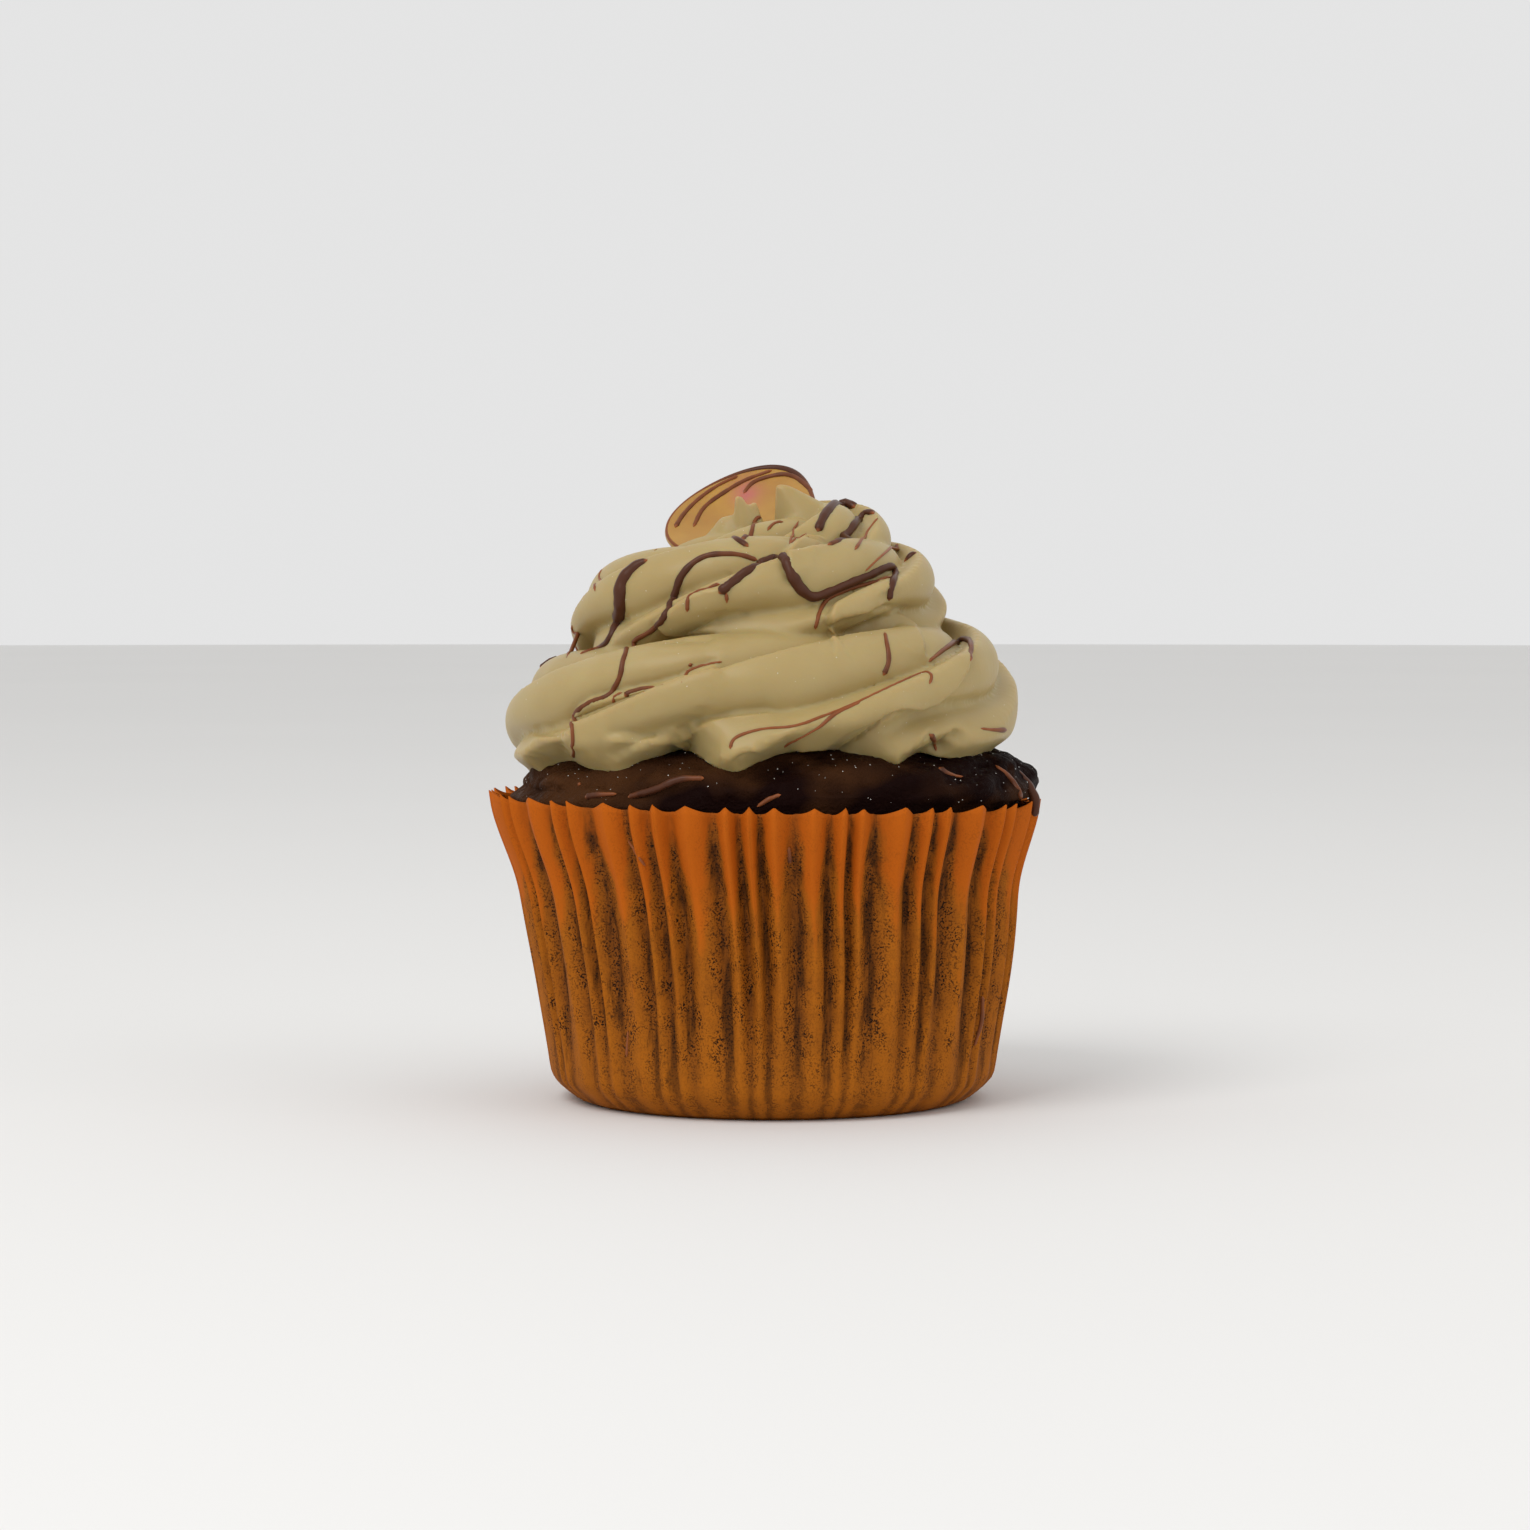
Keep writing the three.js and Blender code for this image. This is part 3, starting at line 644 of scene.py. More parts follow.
        # The rim stands higher on the crests and on the left.
        slope = put(MATH, (put(MATH, (up, 6.0), operation="POWER"), put(
            MATH, (sine, given["Rim Tilt"]), operation="MULTIPLY")), operation="MULTIPLY")
        rise = put(MATH, (self.curve(tree, up, self.profile("height")), given["Height"]),
                   operation="MULTIPLY")
        level = put(MATH, (rise, slope), operation="SUBTRACT")
        lip = put(MATH, (put(MATH, (up, 60.0), operation="POWER"), put(
            MATH, (given["Rim Zigzag"], chance), operation="MULTIPLY")), operation="MULTIPLY")
        point = put(MATH, (put(MATH, (fold, fold), operation="MULTIPLY"), 0.5), operation="SUBTRACT")
        backwards = put(MATH, (cosine, -1.0), operation="MULTIPLY")
        folded_at = put("ShaderNodeCombineXYZ", (
            put(MATH, (radius, sine, lean), operation="MULTIPLY_ADD"),
            put(MATH, (radius, backwards), operation="MULTIPLY"),
            put(MATH, (point, lip, level), operation="MULTIPLY_ADD"),
        ))
        marked = put("GeometryNodeStoreNamedAttribute", {
            "Geometry": grid, "Name": "valley", "Value": put(MATH, (1.0, fold), operation="SUBTRACT"),
        }, data_type="FLOAT", domain="POINT")
        folded = put("GeometryNodeSetPosition", {"Geometry": marked, "Position": folded_at})
        seamed = put("GeometryNodeMergeByDistance", {"Geometry": folded, "Distance": 0.01 * MM})
        smooth = put("GeometryNodeSetShadeSmooth", {"Geometry": seamed, "Shade Smooth": True})
        realized = put("GeometryNodeRealizeInstances", {"Geometry": smooth})
        dressed = put("GeometryNodeSetMaterial", {"Geometry": realized, "Material": given["Paper"]})
        put("NodeGroupOutput", {"Geometry": dressed})
        return tree

    def profile(self, what: str) -> list[tuple[float, float]]:
        """Share-based profile of the wall from the bottom's centre (0) to the rim (1).

        Args:
            what: "radius", "height", "depth" or "shift".

        Returns:
            Curve points as shares of the rim radius, the height, the full depth or the lean.
        """
        start = self.bottom_share
        wall = [(start + (1 - start) * s, s * self.height) for s in np.linspace(0, 1, 24) ** 1.25 if s > 0]
        measures = {
            "radius": (0.0, self.base_radius, self.radius, self.rim_radius),
            "height": (0.0, 0.0, lambda z: z, self.height),
            "depth": (0.0, 0.0, lambda z: 2 * self.half_depth(z), self.pleat_depth),
            "shift": (self.lean, self.lean, self.shift, self.lean),
        }
        middle, corner, along, full = measures[what]
        bottom = [(0.0, middle / full), (start, corner / full)]
        return bottom + [(share, float(along(np.array(z))) / full) for share, z in wall]

    @staticmethod
    def curve(tree: bpy.types.NodeTree, factor: bpy.types.NodeSocket,
              points: Sequence[tuple[float, float]]) -> bpy.types.NodeSocket:
        """Value of a curve through the points at a factor.

        Args:
            tree: Node tree that receives the curve.
            factor: What the curve is read at.
            points: Its points.

        Returns:
            The curve's value.
        """
        node = add(tree, "ShaderNodeFloatCurve", {"Value": factor})
        knots = node.mapping.curves[0].points
        for spot, (x, y) in zip((knots[0], knots[1]), (points[0], points[-1])):
            spot.location = (x, y)
        for x, y in points[1:-1]:
            knots.new(x, y)
        for knot in knots:
            knot.handle_type = "AUTO_CLAMPED"
        node.mapping.update()
        return node.outputs[0]

    def build(self, paper: bpy.types.Material) -> bpy.types.Object:
        """Fold the case and give the paper its thickness.

        Args:
            paper: The paper's finish.

        Returns:
            The case.
        """
        host = mesh_object("case_host", np.zeros((1, 3)), [])
        modifier = host.modifiers.new("pleats", "NODES")
        modifier.node_group = self.tree()
        set_inputs(modifier, {
            "Pleats": self.pleats, "Columns": self.pleats * self.columns_per_pleat + 1, "Rows": self.rows,
            "Rim Radius": self.rim_radius * MM, "Height": self.height * MM,
            "Pleat Depth": self.pleat_depth * MM, "Rim Zigzag": self.rim_zigzag * MM,
            "Rim Tilt": self.rim_tilt * MM, "Lean": self.lean * MM, "Seed": self.seed, "Paper": paper,
        })
        folded = settle(host, "case_folded")
        thicken = folded.modifiers.new("thickness", "SOLIDIFY")
        thicken.thickness = self.thickness * MM
        thicken.offset = -1.0
        return settle(folded, "pleated_paper_case")


@dataclass
class Cake:
    """Solid chocolate cake that fills the case and domes above its rim."""

    case: PaperCase
    floor: float = 0.8
    shoulder_radius: float = 32.4
    shoulder_height: float = 39.4
    overhang: float = 1.9
    neck_height: float = 37.9
    lip_height: float = 38.3
    neck_radius: float = 32.1
    dome_height: float = 46.2
    wall: float = 0.45
    gap: float = 0.4
    floor_bevel: float = 1.0
    # Heights of the rings between the case's corner and its rim.
    wall_levels: tuple[float, ...] = (14.0, 22.0, 31.0)
    crag: float = 0.35
    crumb_depth: float = 1.4
    columns: int = 420
    dome_rows: int = 90

    def dome(self, radius: np.ndarray) -> np.ndarray:
        """Height of the dome at distances from the axis."""
        across = np.clip(radius / self.shoulder_radius, 0, 1)
        return self.shoulder_height + (self.dome_height - self.shoulder_height) * (1 - across ** 4) ** 0.55

    def across(self, share: np.ndarray) -> np.ndarray:
        """How far the dome's rings lie to the right, at shares of the shoulder's radius."""
        return self.overhang * ease(share, 0.2, 0.9)

    def seat(self, points: np.ndarray) -> np.ndarray:
        """Height of the dome under points."""
        share = np.hypot(points[:, 0], points[:, 1]) / self.shoulder_radius
        return self.dome(np.hypot(points[:, 0] - self.across(share), points[:, 1]))

    def relief(self, azimuth: np.ndarray, height: np.ndarray) -> np.ndarray:
        """Slow crags of the baked crust.

        Args:
            azimuth: Azimuths in degrees.
            height: Heights.

        Returns:
            How far the crust stands out.
        """
        a = np.radians(azimuth)
        slow, quick = np.sin(7 * a + height), np.sin(13 * a - 2.1 * height)
        return self.crag * (slow + 0.7 * quick + 0.5 * np.sin(23 * a))

    def crumb(self, point: np.ndarray) -> float:
        """Open crumb at a point: shallow pits and grains, in millimetres.

        Args:
            point: A point of the crust.

        Returns:
            How far grains stand out or pits sink in.
        """
        coarse = noise.fractal(Vector(point) / 1.9, 1.0, 2.1, 3)
        pit = max(noise.noise(Vector(point) / 1.1) - 0.25, 0)
        return self.crumb_depth * (0.14 * coarse - 0.7 * pit)

    def build(self) -> bpy.types.Object:
        """Build the cake with its crumb as relief.

        Returns:
            The cake.
        """
        azimuth = np.arange(self.columns) * 360 / self.columns
        rings = []
        for height in (self.floor, self.case.corner_height, *self.wall_levels):
            valley = self.case.radius(np.array(height)) - self.case.half_depth(np.array(height))
            inside = valley - self.wall - self.gap
            bevel = self.floor_bevel if height == self.floor else 0
            ring = at(azimuth, np.full(self.columns, inside - bevel), height)
            rings.append(ring + np.array([float(self.case.shift(np.array(height))), 0, 0]))
        lip = self.overhang * ease(np.sin(np.radians(azimuth)), 0.5, 1.0)
        rings.append(at(azimuth, np.full(self.columns, self.neck_radius), self.neck_height))
        rings.append(at(azimuth, np.full(self.columns, self.neck_radius), self.lip_height))
        rings[-1][:, 0] += lip
        shares = np.sin(np.linspace(math.pi / 2, 0.08, self.dome_rows))
        for share in shares:
            radius = self.shoulder_radius * share
            height = float(self.dome(np.array(radius)))
            fade = float(ease(np.array(share), 0.7, 0.85))
            slow = self.relief(azimuth, np.array(height)) * fade
            ring = at(azimuth, radius + slow, height + slow * 0.4)
            fine = np.array([self.crumb(point) for point in ring]) * fade
            right = np.array([float(self.across(np.array(share))), 0, 0])
            rings.append(ring + right + fine[:, None] * at(azimuth, np.full(self.columns, 0.6), 0.8))
        points, faces = closed_tube(np.array(rings))
        return mesh_object("chocolate_sponge_cake", points, faces)


class Measure(Enum):
    """What a station of the piped coil states."""

    RADIUS = 1
    HEIGHT = 2
    ROPE = 3


@dataclass
class Horn:
    """Tapering tip that the nozzle pulls up."""

    foot: tuple[float, float, float]
    tip: tuple[float, float, float]
    foot_radius: float
    tip_radius: float
    flatness: float

    def rings(self, rows: int = 30, columns: int = 48) -> np.ndarray:
        """Rings of the horn from its wide foot to its rounded tip, flattened from front to back.

        Args:
            rows: Number of rings.
            columns: Points in a ring.

        Returns:
            Points as rows, columns, xyz.
        """
        foot, tip = np.array(self.foot), np.array(self.tip)
        angle = np.linspace(0, 360, columns, endpoint=False)
        rings = []
        for t in np.linspace(0, 1, rows):
            centre = foot + (tip - foot) * t
            radius = self.tip_radius + (self.foot_radius - self.tip_radius) * (1 - t) ** 1.1
            radius *= math.sqrt(max(1 - max((t - 0.92) / 0.08, 0) ** 2, 0.01))
            star = radius * (1 - 0.06 * np.abs(np.sin(np.radians(3 * angle + 50 + 40 * t))))
            rings.append(centre + at(angle, star, 0.0) * np.array([1.0, self.flatness, 1.0]))
        return np.array(rings)


@dataclass(frozen=True)
class Fold:
    """Edge where one petal of cream lies over the next.

    The points are where it crosses the plane y = 0 seen from VIEWPOINT. The petal is on the left on the
    way along them: it stands out by the height and the other side dips by it.
    """

    points: tuple[tuple[float, float], ...]
    height: float
    near: float = 2.0
    far: float = 1.2


FOLDS = (
    Fold((
        (-5.4, 55.1), (-8.3, 54.2), (-10.9, 52.9), (-13.1, 52.2), (-16.4, 51.5), (-19.3, 50.9),
        (-22.2, 50.2), (-23.7, 49.1), (-24.4, 47.3), (-24.3, 45.1), (-24.1, 43.1)), 0.95, 2.4, 1.3),
    Fold(((-10.9, 46.0), (-12.7, 45.5), (-15.7, 45.4), (-18.2, 45.7), (-20.8, 45.6)), 0.6, 2.5, 1.5),
    Fold((
        (1.9, 48.7), (-0.3, 48.6), (-3.6, 48.3), (-6.9, 47.6), (-9.1, 46.9), (-10.9, 46.0),
        (-12.4, 45.4)), 0.6, 1.6, 2.0),
    Fold(((-12.7, 45.5), (-11.3, 44.6), (-9.1, 43.4), (-6.9, 42.2)), 0.6),
    Fold(((-24.6, 45.1), (-27.4, 45.6), (-30.3, 46.0)), 0.4),
    Fold(((-4.6, 41.5), (-4.1, 42.7), (-3.0, 43.4), (-1.5, 43.6), (0.4, 43.2)), 0.5, 1.6, 1.2),
    Fold((
        (-2.9, 65.9), (-5.4, 64.6), (-8.3, 64.0), (-10.9, 62.6), (-12.9, 61.0), (-13.8, 59.6),
        (-12.7, 58.4), (-9.1, 58.3), (-5.4, 58.5)), 0.75, 2.2, 1.2),
    Fold((
        (16.4, 66.5), (13.8, 64.8), (10.9, 63.4), (8.7, 62.2), (8.0, 60.8), (8.2, 59.6), (9.4, 60.3),
        (12.7, 61.0), (14.9, 61.9), (16.0, 62.6)), 0.75, 1.8, 1.3),
    Fold((
        (2.9, 43.6), (5.4, 44.0), (8.7, 44.2), (10.5, 45.4), (12.7, 46.9), (14.9, 48.4), (17.1, 48.9),
        (19.3, 48.9), (21.5, 49.6), (23.7, 51.3), (25.4, 53.5), (25.9, 55.3), (25.7, 57.1)), 0.9, 2.6, 2.0),
    Fold(((20.1, 55.0), (20.1, 57.5), (19.0, 59.7), (17.1, 61.2), (15.3, 61.5), (12.7, 60.8)), 0.6),
    Fold((
        (8.3, 70.1), (6.9, 70.9), (5.1, 71.0), (3.6, 70.1), (2.6, 69.0), (2.7, 67.4), (3.2, 65.7),
        (4.5, 64.3)), 0.75, 2.2, 1.1),
    Fold(((19.1, 43.8), (19.8, 44.9), (20.6, 46.0), (21.5, 47.0)), 0.4),
)


# Edge of the swirl's foot on the cake: azimuth and distance from the axis. Each lobe swells to a tip and
# ends in a notch.
FOOT_OUTLINE = (
    (-177, 27), (-160, 29.2), (-153, 29.5), (-149, 27), (-134, 29.2), (-126, 29.5), (-122, 27.5),
    (-108, 29), (-90, 29.5), (-69, 29.5), (-66.5, 28.1), (-59, 27.2), (-55, 27.9), (-46.5, 29),
    (-39.5, 29.4), (-35.5, 29.1), (-32.5, 27.7), (-29, 26), (-27, 23), (-23, 24.3), (-15.5, 27.2),
    (-10.5, 29.6), (-7.5, 30.1), (-3.5, 29.3), (-1, 27.6), (1.5, 26.5), (10.5, 26.3), (17, 24.3),
    (18, 25.6), (26, 28.1), (32, 30.3), (36.5, 28.6), (43.5, 26.8), (46, 28.6), (49.5, 29.5),
    (55.5, 29.7), (67, 29.2), (83, 28.7), (100, 29.2), (104, 26.9), (120, 29), (127, 29.4), (131, 27),
    (146, 29), (153, 29.4), (157, 27), (172, 29.2), (179, 29.5),
)


@dataclass
class Buttercream:
    """One rope piped anticlockwise from a fixed star nozzle, with the peak and curl it ends in."""

    cake: Cake
    # Stations: turns from the back, radius and height of the rope's centre, rope radius.
    stations: tuple[tuple[float, float, float, float], ...] = (
        (0.0, 21.5, 48.4, 8.4), (0.25, 23.4, 47.0, 9.2), (0.5, 22.6, 50.0, 9.2), (0.75, 22.8, 51.6, 8.6),
        (1.0, 19.4, 55.4, 9.0), (1.25, 15.8, 59.6, 8.7), (1.5, 15.0, 62.2, 8.6), (1.75, 15.0, 62.4, 7.8),
        (2.0, 11.0, 64.2, 7.6), (2.25, 7.4, 63.8, 6.9), (2.5, 6.6, 65.6, 7.0), (2.75, 9.6, 67.9, 7.5),
        (3.0, 5.2, 69.4, 5.6),
    )
    points: int = 6
    phase: float = 43.0
    drift: float = -6.0
    depth: float = 0.34
    # Where the groove below a crest lies, as a share of the way to the next: low on the rope, and high.
    low_valley: float = 0.48
    high_valley: float = 0.87
    bottom_lag: float = 54.0
    lag_width: float = 40.0
    top_lead: float = 8.0
    # Foot pressed out onto the cake, as a share of the rope radius round one section angle.
    foot_angle: float = -52.0
    foot_width: float = 32.0
    foot_spread: float = 0.42
    # Its lobes stand out over their edge on the cake, and the edge lies further right the higher up.
    foot_slope: float = 1.6
    foot_drag: float = 2.0
    roundness: float = 0.5
    # The rope starts and ends round, within these shares of a turn.
    start_length: float = 0.12
    end_length: float = 0.18
    # Radius and height of the fill inside the coil, from its foot up.
    core: tuple[tuple[float, float], ...] = ((20, 44), (19, 52), (13, 58), (9, 64), (5, 69))
    # How deep the cream may sink into the cake.
    seat_depth: float = 0.12
    voxel: float = 0.36
    most_triangles: int = 190_000
    smoothing: int = 2
    crispness: float = 0.35
    fold_fade: float = 2.0
    waviness: float = 0.16
    horns: list[Horn] = field(default_factory=lambda: [
        Horn((8.2, -0.6, 71.0), (1.9, -2.0, 77.4), 7.4, 0.8, 0.62),
        Horn((-1.9, -3.2, 70.5), (-3.4, -3.6, 76.0), 2.2, 0.5, 0.8),
        Horn((-1.2, -3.0, 70.5), (-1.4, -3.4, 75.2), 1.9, 0.4, 0.8),
        Horn((-4.2, -1.0, 67.0), (-3.8, -2.4, 73.4), 7.0, 1.6, 0.8),
    ])

    def measure(self, what: Measure, turn: np.ndarray) -> np.ndarray:
        """One coil measure at turns, on a smooth curve through the stations.

        Args:
            what: The measure.
            turn: Turns from the back.

        Returns:
            Its values.
        """
        values = np.array([station[what.value] for station in self.stations])
        last = len(values) - 1
        spot = np.clip(np.asarray(turn) / 0.25, 0, last)
        i = np.minimum(spot.astype(int), last - 1)
        a, b = values[np.maximum(i - 1, 0)], values[i]
        c, d = values[i + 1], values[np.minimum(i + 2, last)]
        t = spot - i
        return b + 0.5 * t * (c - a + t * (2 * a - 5 * b + 4 * c - d + t * (3 * (b - c) + d - a)))

    def ridge_lag(self, angle: np.ndarray) -> np.ndarray:
        """Phase of a ridge at section angles: squashed onto the cake, a ridge stands upright low down.

        Args:
            angle: Section angles.

        Returns:
            Phases in degrees.
        """
        from_below = np.abs((angle + 270) % 360 - 180)
        lag = self.bottom_lag * np.exp(-((from_below / self.lag_width) ** 2))
        return angle + lag - self.top_lead * np.maximum(np.sin(np.radians(angle)), 0)

    def groove(self, azimuth: float, turn: float, angle: np.ndarray) -> np.ndarray:
        """Depth share at section angles.

        Args:
            azimuth: Where the section lies.
            turn: Turns from the back.
            angle: Section angles.

        Returns:
            0 on a crisp crest to 1 in the groove below its face. Low on the rope the face is short and
            ends in a lip, and the next ridge swells out from under it.
        """
        spacing = 360 / self.points
        lag = self.ridge_lag(angle)
        x = ((azimuth + self.phase + self.drift * turn - lag) % spacing) / spacing
        high = ease(lag + spacing * x, 15, 55)
        valley = self.low_valley + (self.high_valley - self.low_valley) * high
        face = np.clip(x / valley, 0, 1) ** (3.2 - 0.8 * high)
        step = np.clip((1 - x) / (1 - valley), 0, 1) ** (1.5 - 0.4 * high)
        return np.where(x < valley, face, step)

    def foot(self, turn: float, angle: np.ndarray) -> np.ndarray:
        """Spread of the first turn's foot.

        Args:
            turn: Turns from the back.
            angle: Section angles.

        Returns:
            The spread as a share of the rope radius. It fades as the second turn starts.
        """
        off = (angle - self.foot_angle + 180) % 360 - 180
        fade = 1 - ease(np.array(turn), 0.85, 1.05)
        return self.foot_spread * np.exp(-((off / self.foot_width) ** 2)) * fade

    def widest(self, azimuth: float, level: np.ndarray) -> np.ndarray:
        """How far from the axis the foot may reach above its outline on the cake.

        Args:
            azimuth: Where the section lies.
            level: Heights.

        Returns:
            The greatest distances at those heights.
        """
        azimuths, radii = np.array(FOOT_OUTLINE).T
        low = self.cake.seat(at(np.array([azimuth]), radii.mean(), 0.0))
        edge = np.interp(azimuth - self.foot_drag * np.maximum(level - low, 0), azimuths, radii, period=360)
        rise = np.maximum(level - self.cake.seat(at(np.array(azimuth), edge, 0.0)), 0)
        return edge + self.foot_slope * rise

    def taper(self, turn: float) -> float:
        """Share of the rope's radius near its round ends.

        Args:
            turn: Turns from the back.

        Returns:
            The share, 1 away from the ends.
        """
        start = min(turn / self.start_length + 0.5, 1)
        end = min((self.stations[-1][0] - turn) / self.end_length, 1)
        return max(math.sqrt((1 - (1 - start) ** 2) * (1 - (1 - end) ** 2)), 0.02)

    def section(self, turn: float, angle: np.ndarray) -> np.ndarray:
        """Points of one star section of the rope.

        Args:
            turn: Turns from the back.
            angle: Section angles.

        Returns:
            The section's points.
        """
        azimuth = 360 * (turn - 0.5)
        radius, height, rope = (float(self.measure(what, np.array(turn))) for what in Measure)
        relief = self.depth * self.groove(azimuth, turn, angle)
        reach = rope * self.taper(turn) * (1 - relief + self.foot(turn, angle))
        level = height + reach * np.sin(np.radians(angle))
        free = radius + reach * np.cos(np.radians(angle))
        limit = self.widest(azimuth, level)
        held = -self.roundness * np.logaddexp(-free / self.roundness, -limit / self.roundness)
        return at(np.array(azimuth), np.maximum(held, 0.3), level)

    def rope(self, rings_per_turn: int = 150, samples: int = 132) -> np.ndarray:
        """Rings of the whole rope.

        Args:
            rings_per_turn: Rings in one turn.
            samples: Points in a ring.

        Returns:
            Points as rows, columns, xyz.
        """
        angle = np.linspace(180, -180, samples, endpoint=False)
        first, last = -self.start_length / 2, self.stations[-1][0]
        turns = np.linspace(first, last, int(rings_per_turn * (last - first)))
        return np.array([self.section(float(turn), angle) for turn in turns])

    def heart(self) -> np.ndarray:
        """Fill inside the coil, where the turns close up.

        Returns:
            Points as rows, columns, xyz.
        """
        azimuth = np.linspace(0, 360, 48, endpoint=False)
        return np.array([at(azimuth, np.full(48, float(radius)), height) for radius, height in self.core])

    def lay_fold(self, flat: np.ndarray, fold: Fold) -> np.ndarray:
        """How far a fold moves points.

        Args:
            flat: Points as seen on the plane y = 0, across and height.
            fold: The fold.

        Returns:
            Signed distances along the surface's normals.
        """
        line = np.array(fold.points)
        start, step = line[:-1], np.diff(line, axis=0)
        long = np.linalg.norm(step, axis=1)
        offset = flat[:, None] - start[None]
        share = np.clip((offset * step).sum(-1) / long ** 2, 0, 1)
        away = offset - share[..., None] * step
        distance = np.linalg.norm(away, axis=-1)
        nearest = distance.argmin(1)
        row = np.arange(len(flat))
        side = step[nearest, 0] * away[row, nearest, 1] - step[nearest, 1] * away[row, nearest, 0]
        signed = np.sign(side) * distance[row, nearest]
        along = np.concatenate([[0], np.cumsum(long)])[nearest] + share[row, nearest] * long[nearest]
        fade = ease(along, 0, self.fold_fade) * ease(long.sum() - along, 0, self.fold_fade)
        reach = np.where(signed > 0, fold.near, fold.far)
        return fold.height * fade * np.clip(signed / self.crispness, -1, 1) * np.exp(-np.abs(signed) / reach)

    def sculpt(self, points: np.ndarray, normals: np.ndarray) -> np.ndarray:
        """Lay the front's folds and let the whole surface waver a little.

        Args:
            points: Points of the surface.
            normals: Their normals.

        Returns:
            The moved points.
        """
        ray = points - VIEWPOINT
        flat = VIEWPOINT[[0, 2]] + ray[:, [0, 2]] * (-VIEWPOINT[1] / ray[:, 1])[:, None]
        facing = ease(-(normals * ray).sum(1) / np.linalg.norm(ray, axis=1), 0.0, 0.3)
        moved = facing * sum(self.lay_fold(flat, fold) for fold in FOLDS)
        slow = np.array([noise.noise(Vector(point) / 6.0) for point in points])
        return points + normals * (moved + self.waviness * slow)[:, None]

    def build(self) -> bpy.types.Object:
        """Pipe the rope, melt its turns together and seat it on the cake.

        Returns:
            The swirl.
        """
        shapes = [self.rope(), self.heart(), *(horn.rings() for horn in self.horns)]
        piped = mesh_object("piped", *join([closed_tube(rings) for rings in shapes]))
        melt = piped.modifiers.new("melt", "REMESH")
        melt.mode = "VOXEL"
        melt.voxel_size = self.voxel * MM
        melt.use_smooth_shade = True
        soften = piped.modifiers.new("soften", "SMOOTH")
        soften.factor = 0.5
        soften.iterations = self.smoothing
        melted = settle(piped, "buttercream_melted")
        normals = np.empty(len(melted.data.vertices) * 3, dtype=np.float32)
        melted.data.vertices.foreach_get("normal", normals)
        points = self.sculpt(coordinates(melted), normals.reshape(-1, 3).astype(float))
        points[:, 2] = np.maximum(points[:, 2], self.cake.seat(points) - self.seat_depth)
        place(melted, points)
        relax = melted.modifiers.new("relax", "SMOOTH")
        relax.factor = 0.4
        relax.iterations = 1
        thin = melted.modifiers.new("thin", "DECIMATE")
        thin.ratio = self.most_triangles / (2 * len(melted.data.polygons))
        swirl = settle(melted, "buttercream_swirl")
        swirl.data.polygons.foreach_set("use_smooth", [True] * len(swirl.data.polygons))
        return swirl


@dataclass(frozen=True)
class Strand:
    """Chocolate strand: widths from start to end, and where VIEWPOINT sees it on the plane y = 0."""

    widths: tuple[float, ...]
    points: tuple[tuple[float, float], ...]


